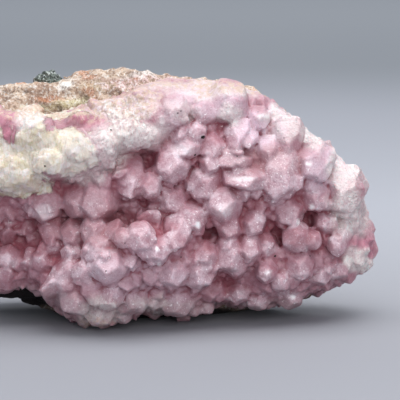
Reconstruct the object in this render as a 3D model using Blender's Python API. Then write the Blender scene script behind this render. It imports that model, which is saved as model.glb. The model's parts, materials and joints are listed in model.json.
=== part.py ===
"""Cobaltoan calcite specimen: a drusy pink calcite crust on brown host rock.

Units are metres, +Z is up, +X runs along the specimen to the right and +Y runs away from the
side that carries the crystals. The specimen stands on the flat underside of its host rock, at
z = 0, with the middle of its footprint at the origin.

The photographed outline and the larger crystals are laid out by the pixels at which the photograph
shows them. The function sight turns such a pixel and a depth into a point, so the side that the
photograph shows keeps its layout, and every size is still a real one, worked out from PIXEL.
"""

import math
import random
from typing import NamedTuple

import bmesh
import bpy
import numpy as np
from mathutils import Matrix, Vector

MM = 0.001

# How the photograph sees the specimen
PIXEL = 0.26 * MM  # one pixel at the middle plane, so a 20-pixel crystal is about 5 mm across
PHOTO_CENTRE = (200.0, 200.0)
EYE_DISTANCE = 600 * MM
EYE_TILT = math.radians(8.0)

# The specimen stands on the lowest knob of its crust and on the host rock behind it
LOWEST_KNOB_PIXEL = (100.0, 328.5)
LOWEST_KNOB_DEPTH = -6.0 * MM

# The crust: a dome of massive calcite, thinner at its rim
CRUST_CENTRE_PIXEL = (150.0, 205.0)
DOME_RISE = 15.0 * MM
DOME_FALL = 2.4  # how late the dome falls away towards its rim
DOME_FULLNESS = 0.6  # less than 1 rounds the dome's shoulders
SEAT_RISE = 5.0 * MM  # how far the dome of host rock under the crust stands out at its middle
SEAT_SCALE = 0.96  # where the back of the crust ends, as a share of its outline
SEAT_RING_SHARES = (0.28, 0.55, 0.8, 0.945)  # rings of the host rock's front, as shares of the outline
SPARE = 3.0 * MM  # how far the crust reaches into the host rock before it is cut to fit
BACK_RING_SHARE = 0.5  # where the crust's back stops curving, as a share of its outline
# The crust's edge, as shares of its outline and of its thickness, from front to back
EDGE_RINGS = ((1.0, 0.35), (0.99, 0.8), (SEAT_SCALE, 1.0))
GAP = 0.35 * MM  # between neighbouring solids

# The host rock behind the crust
ROCK_ROUGHNESS = 2.2 * MM
ROCK_ROUGH_RAMP = 3.0  # how fast the roughness grows from the front edge to the back
ROCK_MIDDLE_DEPTH = 30.0 * MM
ROCK_BACK_DEPTHS = {  # in millimetres, by direction in degrees from the crust's middle
    0: 22.0, 45: 20.0, 90: 20.0, 135: 22.0,
    180: 26.0, 225: 34.0, 270: 40.0, 315: 32.0,
}
ROCK_BACK_SHARES = (0.10, 0.26, 0.46, 0.64, 0.80, 0.93, 1.0)
ROCK_UPPER_SHARES = (0.975, 1.0, 0.95, 0.86, 0.72, 0.54, 0.28)
ROCK_LOWER_SHARES = (0.975, 1.0, 1.0, 0.99, 0.96, 0.84, 0.50)

BED_ROUGHNESS = 0.9 * MM
BED_WAVELENGTH = 9 * MM
ROCK_WAVELENGTH = 13 * MM
WAVES = 9
WAVE_SPREAD = (0.6, 1.6)  # a wave's length, as a share of the usual one
ROUGHNESS_SEED = 3

SPOKES = 72
BED_RINGS = 20
RING_CROWDING = 0.85  # less than 1 sets the rings closer together towards the rim
SPOKE_SQUEEZE = 0.72  # turns the spokes towards the two ends, where the outline is far from its middle
MERGE_DISTANCE = 0.004 * MM
OUTLINE_SAMPLES = 12  # points on each stretch of an outline between two of its own points
SLAB_SIDE = 300 * MM  # of the block that cuts the underside flat

# The rim of the crust as the photograph shows it, anticlockwise from the right.
# The stretch with negative pixels lies past the photograph's left edge.
CRUST_OUTLINE = (
    (375, 248), (366, 212), (362, 190), (350, 169), (330, 147), (300, 123), (262, 94), (230, 84),
    (195, 80), (160, 80), (138, 88), (112, 97), (84, 104), (60, 111), (36, 114), (12, 109),
    (-18, 108), (-50, 126), (-70, 160), (-77, 205), (-68, 244), (-42, 270), (-8, 284), (30, 290),
    (52, 305), (66, 320), (84, 326), (102, 328), (128, 320), (150, 313), (180, 318), (208, 311),
    (235, 304), (262, 308), (290, 305), (320, 293), (348, 281), (368, 268),
)

# The host rock's own outline: its ridge stands above and behind the crust at the upper left
ROCK_OUTLINE = (
    (368, 246), (356, 196), (334, 151), (314, 137), (286, 112), (258, 90), (225, 81), (190, 77.5),
    (160, 72), (130, 65.5), (105, 64), (84, 71.5), (64, 81), (44, 84), (26, 79), (0, 87),
    (-30, 97), (-58, 122), (-74, 158), (-79, 205), (-70, 250), (-44, 284), (-5, 300), (35, 301),
    (60, 314), (100, 324), (150, 321), (200, 318), (250, 311), (300, 299), (340, 283), (362, 264),
)

# The crust's rim in millimetres, by direction in degrees from the crust's middle: how far its front
# lies behind the middle plane, and how thick it is from front to back
RIM_DEPTHS = {
    0: 8.0, 40: 7.0, 75: 4.0, 110: 2.0, 150: 1.0,
    180: 2.0, 210: 0.0, 245: -6.0, 300: 1.0, 330: 5.0,
}
RIM_THICKNESSES = {
    0: 7.0, 40: 5.0, 75: 4.5, 110: 4.0, 150: 5.0,
    180: 8.0, 210: 6.0, 245: 8.0, 300: 7.0, 330: 9.0,
}

# Lower edge of the broken ledge of massive calcite, at the upper left
LEDGE_EDGE = (
    (-80, 200), (-30, 200), (0, 195), (30, 193), (46, 186), (60, 178), (85, 171), (108, 170),
    (116, 154), (160, 146), (190, 112), (240, 98), (300, 120),
)
LEDGE_STAND_OUT = 3.0 * MM
LEDGE_SLOPE_PIXELS = 9.0


# The edge of the ledge and the swells fade out towards the rim, over the last part of the dome
RELIEF_FADE = 2.2
NORMAL_STEP = 5.0  # pixels between the points that give the bed's direction


class Swell(NamedTuple):
    """A rise or a hollow in the bed that the crystals grow from.

    The half width is in pixels. The height is in millimetres, and is negative for a hollow.
    """

    name: str
    pixel: tuple
    half_width: tuple
    height: float


SWELLS = (
    Swell("cream shoulder", (36, 150), (80, 40), 4.0),
    Swell("pale shoulder", (128, 122), (44, 26), 2.0),
    Swell("left hollow", (24, 234), (38, 22), -8.0),
    Swell("slot under the cream ledge", (62, 188), (26, 8), -6.0),
    Swell("slot under the pale ledge", (136, 163), (24, 8), -7.0),
    Swell("middle slot", (122, 218), (32, 11), -7.5),
    Swell("slot beside the deep pink pair", (70, 218), (12, 13), -5.0),
    Swell("lower left boss", (76, 290), (40, 30), 6.0),
    Swell("central slot", (209, 234), (10, 18), -6.0),
    Swell("right-hand slot", (273, 238), (12, 11), -6.0),
    Swell("slot under the right-hand tip", (308, 220), (12, 11), -6.0),
    Swell("small red pit", (341, 226), (8, 6), -4.5),
    Swell("lower middle slot", (228, 283), (16, 8), -6.0),
    Swell("notch beside the sparkling lens", (192, 168), (12, 8), -4.0),
    Swell("upper middle swell", (240, 170), (52, 44), 3.0),
    Swell("right shoulder", (330, 178), (34, 36), 3.0),
    Swell("lower middle swell", (170, 262), (44, 26), 3.0),
    Swell("lower right swell", (290, 280), (36, 24), 2.5),
)


class Lump(NamedTuple):
    """A broken block of massive calcite.

    Its size is width, height and depth in millimetres, and so is stand_out, how far it is moved out
    of the bed.
    """

    pixel: tuple
    size: tuple
    stand_out: float


LUMPS = (
    # the cream blocks at the upper left
    Lump((-46, 158), (13, 15, 9), 0.5),
    Lump((-22, 140), (13, 12, 9), 0.5),
    Lump((-18, 184), (13, 8, 8), 1.0),
    Lump((10, 130), (13, 10, 8), 0.5),
    Lump((38, 136), (15, 11, 9), 1.2),
    Lump((18, 170), (14, 11, 9), 1.4),
    Lump((50, 162), (10, 8, 8), 1.5),
    Lump((74, 148), (12, 11, 8), 1.0),
    Lump((84, 119), (9, 6, 6), 0.5),
    Lump((101, 148), (9, 11, 8), 1.4),
    Lump((128, 134), (11, 9, 7), 1.0),
    Lump((112, 108), (11, 6, 6), 0.4),
    Lump((140, 100), (10, 7, 6), 0.6),
    Lump((160, 118), (9, 9, 6), 0.4),
    # past the photograph's left edge
    Lump((-66, 206), (6, 13, 8), 0.5),
    Lump((-50, 246), (9, 9, 8), 0.5),
)

LUMP_SINK = 0.25  # how far a lump's middle lies in the bed, as a share of its depth
LUMP_CORNERS = 15
LUMP_CORNER_TURN = 0.4  # most that a corner is moved round the lump, in radians
LUMP_CORNER_REACHES = (0.86, 1.12)

# The broken blocks that make up the crust's pale rim, all the way round
RIM_BLOCKS = 56
RIM_BLOCK_SCATTER = 0.3  # as a share of the distance between two blocks
RIM_SETBACK_SCATTER = 0.15
RIM_BLOCK_SIZES = (6.5 * MM, 10.5 * MM)
RIM_BLOCK_STAND_OUT = 1.1 * MM  # how far they may stand out past the outline
RIM_ROW_SETBACKS = (-0.2, 0.5, 0.15, 0.75)  # as shares of the crust's thickness at its rim
RIM_BLOCK_SEED = 11


class Block(NamedTuple):
    """A block of host rock; its depth, and its width, height and depth in size, are in millimetres."""

    name: str
    pixel: tuple
    depth: float
    size: tuple


ROCK_BLOCKS = (
    Block("ridge, left", (14, 97), 13, (24, 9, 12)),
    Block("ridge, middle", (112, 82), 13, (28, 8, 12)),
    Block("ridge, behind the ore", (62, 101), 19, (20, 9, 10)),
    Block("step above the cream ledge", (66, 104), 8, (22, 5, 7)),
    Block("top right", (220, 98), 14, (26, 7, 10)),
    Block("back, far left", (-36, 172), 17, (27, 40, 17)),
    Block("back, upper left", (20, 140), 18, (42, 34, 19)),
    Block("back, upper middle", (112, 128), 18, (45, 31, 19)),
    Block("back, upper right", (206, 144), 16, (46, 31, 19)),
    Block("back, far right", (288, 198), 14, (35, 38, 17)),
    Block("back, middle left", (44, 206), 23, (50, 34, 17)),
    Block("back, middle", (140, 190), 23, (48, 39, 17)),
    Block("back, middle right", (224, 214), 20, (50, 36, 19)),
    Block("back, lower left", (0, 256), 24, (45, 26, 21)),
    Block("back, lower middle", (96, 262), 29, (50, 31, 19)),
    Block("back, lower right", (200, 266), 28, (52, 31, 19)),
    Block("back, low right corner", (286, 254), 20, (42, 26, 19)),
    Block("foot", (130, 300), 33, (50, 14, 14)),
)
ROCK_BLOCK_SEED = 8

# Flat breaks across the back of the host rock, as compass and rise angles in degrees from +Y
ROCK_BREAKS = 22
ROCK_BREAK_SEED = 21
ROCK_BREAK_COMPASS = (-80, 80)
ROCK_BREAK_RISE = (-30, 65)
ROCK_BREAK_BITES = (1.5 * MM, 6.0 * MM)


class Habit(NamedTuple):
    """Proportions of a kind of crystal, as shares of its width."""

    tip_height: float  # from the lowest corner under the tip's faces to the apex
    thickness: float  # across the plate, for a flattened crystal
    root_width: float
    pinch: float  # reach of every other corner, less than 1 for a three-sided look
    six_faced: bool


CAP_LIMIT = 0.8  # longest tip of a crystal, as a share of its length
CAP_RIDGE = 0.5  # how far the ridges of a three-faced tip come down, as a share of the tip
# A crystal's flat side faces this way, across its own axis
PLATE_FACING = Vector((0.0, 1.0, 0.25))

BLUNT = Habit(tip_height=0.62, thickness=1.0, root_width=1.12, pinch=0.86, six_faced=False)
STEEP = Habit(tip_height=1.0, thickness=0.9, root_width=1.05, pinch=0.92, six_faced=True)
PLATE = Habit(tip_height=0.45, thickness=0.6, root_width=1.0, pinch=0.95, six_faced=False)
KNOB = Habit(tip_height=0.42, thickness=0.95, root_width=0.9, pinch=0.95, six_faced=True)


class Crystal(NamedTuple):
    """A crystal that the photograph shows.

    The width is in millimetres, as is stand_out, how far the tip is in front of the bed.
    The turn, in degrees, is about the crystal's own axis.
    """

    root_pixel: tuple
    tip_pixel: tuple
    width: float
    stand_out: float
    habit: Habit = BLUNT
    turn: float = 0.0


CRYSTALS = (
    # left third, from the ledge down
    Crystal((46, 200), (43, 226), 8.4, 5.5, BLUNT, 60),
    Crystal((79, 197), (77, 221), 7.0, 6.0, BLUNT, 50),
    Crystal((97, 201), (93, 223), 9.4, 6.5, BLUNT, 75),
    Crystal((128, 180), (131, 204), 7.6, 5.0, STEEP, 20),
    Crystal((50, 231), (53, 251), 5.6, 4.5, STEEP, 30),
    Crystal((26, 268), (26, 258), 3.4, 3.5, STEEP, 0),
    Crystal((40, 268), (42, 253), 5.0, 4.5, BLUNT, 0),
    Crystal((5, 287), (8, 257), 5.0, 4.5, STEEP, 10),
    Crystal((6, 238), (10, 225), 5.0, 4.0, STEEP, 40),
    Crystal((24, 222), (24, 240), 4.6, 3.6, STEEP, 25),
    Crystal((72, 236), (73, 244), 5.6, 4.0, BLUNT, 15),
    Crystal((73, 256), (70, 252), 5.4, 4.0, BLUNT, 70),
    Crystal((94, 232), (95, 240), 6.0, 5.5, BLUNT, 35),
    Crystal((111, 232), (110, 240), 5.4, 4.5, PLATE, 35),
    Crystal((100, 250), (92, 261), 7.0, 6.5, BLUNT, 10),
    Crystal((122, 238), (123, 244), 4.2, 5.5, KNOB, 0),
    Crystal((140, 238), (142, 250), 6.0, 6.5, BLUNT, 40),
    Crystal((127, 256), (133, 272), 5.6, 5.0, STEEP, 0),
    Crystal((108, 268), (106, 275), 7.8, 7.0, BLUNT, 80),
    Crystal((70, 280), (68, 263), 9.6, 4.0, BLUNT, 30),
    Crystal((84, 276), (86, 268), 6.0, 4.6, BLUNT, 65),
    Crystal((54, 288), (50, 280), 7.6, 3.5, PLATE, 30),
    Crystal((76, 296), (74, 316), 7.6, 4.0, KNOB, 10),
    Crystal((100, 312), (99, 325), 6.4, 4.0, KNOB, 30),
    Crystal((108, 298), (110, 304), 6.6, 5.0, BLUNT, 20),
    Crystal((130, 300), (132, 309), 8.0, 5.0, BLUNT, 50),
    Crystal((121, 312), (124, 320), 5.0, 4.5, KNOB, 0),
    Crystal((151, 298), (152, 309), 4.8, 5.0, BLUNT, 0),
    # the middle, from the top rim down
    Crystal((172, 166), (168, 177), 8.0, 6.5, BLUNT, 95),
    Crystal((183, 146), (184, 157), 9.4, 5.0, PLATE, 0),
    Crystal((180, 132), (178, 140), 5.6, 4.0, PLATE, 40),
    Crystal((197, 132), (197, 138), 4.4, 4.0, KNOB, 0),
    Crystal((172, 116), (170, 124), 6.8, 2.6, BLUNT, 20),
    Crystal((228, 108), (230, 118), 9.6, 4.5, KNOB, 15),
    Crystal((204, 112), (202, 120), 6.6, 3.0, KNOB, 50),
    Crystal((238, 134), (236, 155), 6.2, 5.5, STEEP, 10),
    Crystal((250, 136), (251, 149), 4.0, 5.0, STEEP, 0),
    Crystal((258, 118), (259, 130), 5.0, 4.5, BLUNT, 30),
    Crystal((213, 150), (214, 158), 6.6, 3.6, BLUNT, 0),
    Crystal((211, 162), (209, 173), 5.0, 4.6, BLUNT, 60),
    Crystal((230, 160), (232, 168), 6.8, 5.0, PLATE, 10),
    Crystal((244, 177), (246, 190), 10.6, 7.0, PLATE, 0),
    Crystal((205, 184), (206, 200), 8.4, 5.5, BLUNT, 25),
    Crystal((172, 199), (166, 210), 7.0, 5.5, BLUNT, 15),
    Crystal((150, 186), (148, 197), 5.0, 4.6, BLUNT, 60),
    Crystal((224, 206), (222, 213), 8.6, 7.5, BLUNT, 100),
    Crystal((189, 220), (195, 227), 7.0, 6.5, BLUNT, 30),
    Crystal((176, 238), (174, 252), 7.2, 6.0, STEEP, 40),
    Crystal((157, 252), (155, 258), 5.6, 6.5, BLUNT, 20),
    Crystal((230, 226), (228, 240), 5.6, 5.0, BLUNT, 70),
    Crystal((254, 222), (252, 236), 5.6, 5.0, BLUNT, 50),
    Crystal((260, 196), (262, 222), 3.8, 4.0, STEEP, 0),
    Crystal((230, 256), (232, 270), 8.4, 6.0, BLUNT, 20),
    Crystal((250, 246), (250, 262), 5.4, 6.0, BLUNT, 85),
    Crystal((205, 254), (206, 264), 5.0, 5.0, BLUNT, 0),
    Crystal((198, 270), (199, 288), 8.2, 6.5, BLUNT, 40),
    Crystal((172, 274), (170, 284), 6.4, 5.5, BLUNT, 10),
    Crystal((176, 300), (177, 313), 8.0, 4.5, KNOB, 20),
    Crystal((193, 306), (194, 317), 3.4, 3.0, KNOB, 0),
    Crystal((206, 303), (207, 315), 3.8, 3.0, KNOB, 30),
    Crystal((238, 292), (240, 300), 5.6, 4.5, BLUNT, 55),
    Crystal((258, 298), (258, 307), 6.4, 4.5, BLUNT, 15),
    # right third, from the top rim down
    Crystal((288, 138), (286, 166), 7.6, 5.5, STEEP, 15),
    Crystal((268, 152), (271, 167), 6.0, 3.6, BLUNT, 45),
    Crystal((281, 176), (272, 204), 9.8, 6.5, BLUNT, 70),
    Crystal((319, 160), (306, 172), 9.0, 6.0, BLUNT, 20),
    Crystal((313, 190), (318, 215), 6.6, 6.0, BLUNT, 55),
    Crystal((344, 196), (338, 212), 9.6, 4.5, BLUNT, 10),
    Crystal((286, 210), (297, 228), 7.8, 5.0, BLUNT, 30),
    Crystal((297, 238), (293, 246), 6.4, 5.5, KNOB, 0),
    Crystal((313, 240), (313, 245), 4.2, 6.0, KNOB, 15),
    Crystal((322, 222), (325, 229), 4.0, 3.5, BLUNT, 0),
    Crystal((340, 238), (337, 257), 6.2, 5.0, STEEP, 25),
    Crystal((258, 240), (276, 250), 4.6, 4.5, BLUNT, 0),
    Crystal((266, 270), (266, 277), 3.8, 5.5, KNOB, 0),
    Crystal((300, 262), (300, 279), 6.6, 5.5, BLUNT, 35),
    Crystal((280, 280), (281, 288), 5.0, 4.6, KNOB, 20),
    Crystal((290, 296), (292, 305), 6.8, 4.5, BLUNT, 60),
    Crystal((320, 272), (320, 284), 5.8, 4.5, BLUNT, 15),
    Crystal((340, 268), (338, 277), 5.4, 4.0, BLUNT, 40),
    # past the photograph's left edge
    Crystal((-14, 214), (-16, 234), 7.4, 5.0, BLUNT, 20),
    Crystal((-38, 218), (-40, 236), 7.0, 5.0, BLUNT, 60),
    Crystal((-26, 244), (-28, 262), 8.2, 6.0, BLUNT, 10),
    Crystal((-10, 262), (-12, 275), 6.4, 5.0, STEEP, 35),
    Crystal((-54, 224), (-58, 240), 6.2, 4.5, STEEP, 0),
)

FILLER_SEED = 27
FILLER_TRIES = 2600
FILLER_WIDTHS = (2.6 * MM, 4.8 * MM)
FILLER_SPACING = 0.80  # least distance between two roots, as a share of their mean width
FILLER_LIMIT = 130
FILLER_COLUMNS = (-78.0, 374.0)
FILLER_ROWS = (90.0, 326.0)
FILLER_RIM_SHARE = 0.95
FILLER_LEDGE_SHARE = 0.1
FILLER_TIPS = (0.45, 0.95)  # how far they stand out of the bed, as shares of their width
FILLER_HABITS = (BLUNT, BLUNT, KNOB, STEEP)
# A filler's direction is the sum of these: a share of the bed's own, the lean, and a random part
BED_SHARE = 0.7
LEAN = Vector((0.0, -0.62, -0.48))  # most of the crystals point outwards and a little down
RANDOM_SHARE = 0.5
ROOT_DEPTH = 2.6 * MM  # how far a crystal's root is sunk in the bed

CRUST_TRIANGLES = 6900
ROCK_TRIANGLES = 1500

# The dark ore cluster on the ridge
ORE_PIXEL = (48.0, 82.5)
ORE_DEPTH = 14.0 * MM
ORE_RADIUS = 2.9 * MM
ORE_SEED = 5
ORE_PROPORTIONS = (1.4, 0.62, 0.75)
ORE_BLADES = 6
ORE_FAN = math.radians(116)
ORE_BLADE_REACHES = (1.0, 1.22)  # as shares of the body's radius
ORE_BLADE_WIDTHS = (1.6 * MM, 2.5 * MM)
ORE_BLADE_LEANS = (-0.45, 0.2)  # towards the viewer and away
ORE_BLADE_RISE = 0.6
ORE_CORNERS = 20


class Finish(NamedTuple):
    """Colour, roughness and metallic value of one of the specimen's materials."""

    colour: tuple
    roughness: float
    metallic: float = 0.0


PINK_CALCITE = Finish((0.58, 0.36, 0.40, 1.0), 0.42)
BROWN_ROCK = Finish((0.44, 0.31, 0.22, 1.0), 0.85)
GREEN_GREY_ORE = Finish((0.16, 0.17, 0.16, 1.0), 0.45)


def sight(pixel, depth):
    """Return the point at a depth behind the middle plane that the photograph shows at a pixel."""
    across = (pixel[0] - PHOTO_CENTRE[0]) * PIXEL
    rise = (PHOTO_CENTRE[1] - pixel[1]) * PIXEL
    level = EYE_DISTANCE * math.cos(EYE_TILT)
    height = EYE_DISTANCE * math.sin(EYE_TILT)
    reach = (depth + level) / (level + rise * math.sin(EYE_TILT))
    return Vector((across * reach, depth, height + reach * (rise * math.cos(EYE_TILT) - height)))


def smooth_step(value):
    """Return 0 below 0, 1 above 1, and a smooth ramp between them."""
    held = min(max(value, 0.0), 1.0)
    return held * held * (3.0 - 2.0 * held)


class Outline:
    """A closed smooth outline in the photograph, as its reach in each direction from the middle."""

    def __init__(self, points):
        """Pass a smooth curve through the points and note the angle and reach of its samples."""
        samples = []
        count = len(points)
        for index in range(count):
            near = [np.array(points[(index + step) % count], float) for step in (-1, 0, 1, 2)]
            for share in np.linspace(0.0, 1.0, OUTLINE_SAMPLES, endpoint=False):
                samples.append(catmull_rom(*near, share))
        offsets = np.array(samples) - np.array(CRUST_CENTRE_PIXEL)
        angles = np.arctan2(-offsets[:, 1], offsets[:, 0]) % math.tau
        order = np.argsort(angles)
        self.angles = angles[order]
        self.reaches = np.hypot(offsets[:, 0], offsets[:, 1])[order]

    def reach(self, angle):
        """Return the distance in pixels from the middle to the outline."""
        return float(np.interp(angle % math.tau, self.angles, self.reaches, period=math.tau))

    def pixel(self, angle, share):
        """Return the pixel at a share of the way from the middle to the outline."""
        reach = self.reach(angle) * share
        column = CRUST_CENTRE_PIXEL[0] + reach * math.cos(angle)
        row = CRUST_CENTRE_PIXEL[1] - reach * math.sin(angle)
        return column, row


def catmull_rom(before, start, end, after, share):
    """Return the point at a share of the way from start to end on a smooth curve."""
    leave = 0.5 * (end - before)
    arrive = 0.5 * (after - start)
    line = end - start
    square = 3 * line - 2 * leave - arrive
    cube = leave + arrive - 2 * line
    return start + share * (leave + share * (square + share * cube))


CRUST = Outline(CRUST_OUTLINE)
ROCK = Outline(ROCK_OUTLINE)


def polar(pixel):
    """Return the direction of a pixel from the crust's middle, and its share of the way to the rim."""
    across = pixel[0] - CRUST_CENTRE_PIXEL[0]
    rise = CRUST_CENTRE_PIXEL[1] - pixel[1]
    angle = math.atan2(rise, across)
    return angle, math.hypot(across, rise) / CRUST.reach(angle)


def by_direction(lengths, angle):
    """Return a length in metres, from a table of directions in degrees and lengths in millimetres."""
    degrees = math.degrees(angle) % 360
    return MM * float(np.interp(degrees, list(lengths), list(lengths.values()), period=360))


def rim_depth(angle):
    """Return the depth of the crust's front rim in a direction."""
    return by_direction(RIM_DEPTHS, angle)


def ledge_share(pixel):
    """Return 1 on the broken ledge, 0 on the bed below it, and between them on its edge."""
    columns, rows = zip(*LEDGE_EDGE)
    edge = np.interp(pixel[0], columns, rows)
    return smooth_step((edge - pixel[1]) / LEDGE_SLOPE_PIXELS)


def bed_depth(pixel):
    """Return the depth of the bed that the crystals grow from."""
    angle, share = polar(pixel)
    dome = max(0.0, 1.0 - min(share, 1.0) ** DOME_FALL) ** DOME_FULLNESS
    height = ledge_share(pixel) * LEDGE_STAND_OUT
    for swell in SWELLS:
        across = (pixel[0] - swell.pixel[0]) / swell.half_width[0]
        down = (pixel[1] - swell.pixel[1]) / swell.half_width[1]
        height += swell.height * MM * math.exp(-across * across - down * down)
    return rim_depth(angle) - DOME_RISE * dome - height * min(1.0, RELIEF_FADE * dome)


def bed_normal(pixel):
    """Return the outward direction of the bed at a pixel."""
    here = sight(pixel, bed_depth(pixel))
    right_pixel = (pixel[0] + NORMAL_STEP, pixel[1])
    upper_pixel = (pixel[0], pixel[1] - NORMAL_STEP)
    right = sight(right_pixel, bed_depth(right_pixel)) - here
    upper = sight(upper_pixel, bed_depth(upper_pixel)) - here
    return right.cross(upper).normalized()


def seat_depth(angle, share):
    """Return the depth of the host rock's front, which the crust grew on."""
    rise = SEAT_RISE * math.sqrt(max(0.0, 1.0 - share * share))
    return rim_depth(angle) + by_direction(RIM_THICKNESSES, angle) - rise


def spoke_angles():
    """Return the directions of the spokes, closer together where the outline is long and low."""
    angles = []
    for index in range(SPOKES):
        turn = math.tau * index / SPOKES
        angles.append(math.atan2(math.sin(turn) * SPOKE_SQUEEZE, math.cos(turn)))
    return angles


def shell(front_point, front_rings, back_rings, back_point):
    """Return a closed mesh through rings of points, with a point at its front and one at its back."""
    mesh = bmesh.new()
    rings = [[mesh.verts.new(point) for point in ring] for ring in front_rings + back_rings]
    front = mesh.verts.new(front_point)
    back = mesh.verts.new(back_point)
    count = len(rings[0])
    for index in range(count):
        after = (index + 1) % count
        mesh.faces.new((front, rings[0][index], rings[0][after]))
        for inner, outer in zip(rings, rings[1:]):
            mesh.faces.new((inner[index], outer[index], outer[after], inner[after]))
        mesh.faces.new((back, rings[-1][after], rings[-1][index]))
    bmesh.ops.recalc_face_normals(mesh, faces=mesh.faces)
    bmesh.ops.triangulate(mesh, faces=mesh.faces)
    return mesh


def scattered_direction(rng):
    """Return a direction chosen evenly over the sphere."""
    return Vector((rng.gauss(0, 1), rng.gauss(0, 1), rng.gauss(0, 1))).normalized()


class Roughness:
    """Smooth seeded unevenness: waves that run in scattered directions."""

    def __init__(self, seed, size, wavelength):
        """Choose the waves; size is about the largest move, wavelength the usual distance of bumps."""
        rng = random.Random(seed)
        self.size = size
        self.waves = []
        for _ in range(WAVES):
            run = scattered_direction(rng)
            push = scattered_direction(rng)
            length = wavelength * rng.uniform(*WAVE_SPREAD)
            phase = rng.uniform(0, math.tau)
            self.waves.append((run * math.tau / length, phase, push))

    def move(self, point, share=1.0):
        """Return the point moved by the waves, by a share of their full size."""
        moved = point.copy()
        for run, phase, push in self.waves:
            moved += push * (share * self.size * 2.0 / WAVES * math.sin(run.dot(point) + phase))
        return moved


def make_crust_bed():
    """Return the massive calcite that all the crystals grow from, as a closed mesh.

    Its back reaches into the host rock, which is cut out of it once the crystals are joined on.
    """
    angles = spoke_angles()
    uneven = Roughness(ROUGHNESS_SEED, BED_ROUGHNESS, BED_WAVELENGTH)
    front_rings = []
    for index in range(BED_RINGS):
        share = ((index + 1) / (BED_RINGS + 0.5)) ** RING_CROWDING
        ring = []
        for angle in angles:
            pixel = CRUST.pixel(angle, share)
            ring.append(uneven.move(sight(pixel, bed_depth(pixel))))
        front_rings.append(ring)
    edge_rings = []
    for share, depth in EDGE_RINGS:
        ring = []
        for angle in angles:
            thickness = by_direction(RIM_THICKNESSES, angle)
            point = sight(CRUST.pixel(angle, share), rim_depth(angle) + thickness * depth)
            ring.append(uneven.move(point))
        edge_rings.append(ring)
    back_ring = []
    for angle in angles:
        pixel = CRUST.pixel(angle, BACK_RING_SHARE)
        back_ring.append(sight(pixel, seat_depth(angle, BACK_RING_SHARE) + SPARE))
    front = sight(CRUST_CENTRE_PIXEL, bed_depth(CRUST_CENTRE_PIXEL))
    back = sight(CRUST_CENTRE_PIXEL, seat_depth(0.0, 0.0) + SPARE)
    return shell(front, front_rings, edge_rings + [back_ring], back)


def make_rock_body():
    """Return the host rock as a closed mesh that follows the crust's back and rises behind it."""
    angles = spoke_angles()
    seat_rings = []
    for share in SEAT_RING_SHARES:
        ring = []
        for angle in angles:
            ring.append(sight(CRUST.pixel(angle, share), seat_depth(angle, share / SEAT_SCALE)))
        seat_rings.append(ring)
    uneven = Roughness(ROUGHNESS_SEED + 1, ROCK_ROUGHNESS, ROCK_WAVELENGTH)
    outer_rings = []
    for upper, lower, back_share in zip(ROCK_UPPER_SHARES, ROCK_LOWER_SHARES, ROCK_BACK_SHARES):
        ring = []
        for angle in angles:
            low = 0.5 - 0.5 * math.sin(angle)
            start = seat_depth(angle, 1.0)
            depth = start + (by_direction(ROCK_BACK_DEPTHS, angle) - start) * back_share
            point = sight(ROCK.pixel(angle, upper + (lower - upper) * low), depth)
            ring.append(uneven.move(point, smooth_step(back_share * ROCK_ROUGH_RAMP)))
        outer_rings.append(ring)
    front = sight(CRUST_CENTRE_PIXEL, seat_depth(0.0, 0.0))
    back = sight(CRUST_CENTRE_PIXEL, ROCK_MIDDLE_DEPTH)
    return shell(front, seat_rings + outer_rings[:1], outer_rings[1:], back)


def crystal_mesh(root, tip, width, habit, turn):
    """Return one crystal as a closed mesh: a six-sided stem with a three-faced or six-faced tip.

    The width is between opposite faces of the stem.
    """
    axis = (tip - root).normalized()
    length = (tip - root).length
    across = axis.cross(PLATE_FACING).normalized()
    through = axis.cross(across).normalized()
    radius = 0.5 * width / math.cos(math.pi / 6)
    cap = min(habit.tip_height * width, CAP_LIMIT * length)
    mesh = bmesh.new()
    lower = []
    upper = []
    for corner in range(6):
        angle = math.radians(60 * corner + turn)
        reach = radius * (habit.pinch if corner % 2 else 1.0)
        direction = (math.cos(angle) * across + math.sin(angle) * habit.thickness * through) * reach
        if habit.six_faced:
            drop = cap
        elif corner % 2:
            drop = cap * habit.pinch
        else:
            drop = cap * CAP_RIDGE
        lower.append(mesh.verts.new(root + direction * habit.root_width))
        upper.append(mesh.verts.new(tip - axis * drop + direction))
    apex = mesh.verts.new(tip)
    mesh.faces.new(lower)
    for corner in range(6):
        after = (corner + 1) % 6
        mesh.faces.new((lower[corner], lower[after], upper[after], upper[corner]))
    if habit.six_faced:
        for corner in range(6):
            mesh.faces.new((upper[corner], upper[(corner + 1) % 6], apex))
    else:
        for corner in (1, 3, 5):
            mesh.faces.new((upper[corner - 1], upper[corner], upper[(corner + 1) % 6], apex))
    bmesh.ops.recalc_face_normals(mesh, faces=mesh.faces)
    return mesh


def lump_mesh(centre, size, rng, corners=LUMP_CORNERS):
    """Return a broken block as the hull of points scattered over an ellipsoid."""
    mesh = bmesh.new()
    golden_angle = math.pi * (3.0 - math.sqrt(5.0))
    for index in range(corners):
        height = 1.0 - 2.0 * (index + 0.5) / corners
        angle = index * golden_angle + rng.uniform(-LUMP_CORNER_TURN, LUMP_CORNER_TURN)
        level = math.sqrt(max(0.0, 1.0 - height * height))
        reach = 0.5 * rng.uniform(*LUMP_CORNER_REACHES)
        across = level * math.cos(angle) * size[0]
        through = level * math.sin(angle) * size[2]
        mesh.verts.new(centre + Vector((across, through, height * size[1])) * reach)
    bmesh.ops.convex_hull(mesh, input=mesh.verts)
    loose = [vert for vert in mesh.verts if not vert.link_faces]
    bmesh.ops.delete(mesh, geom=loose, context="VERTS")
    bmesh.ops.recalc_face_normals(mesh, faces=mesh.faces)
    return mesh


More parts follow.
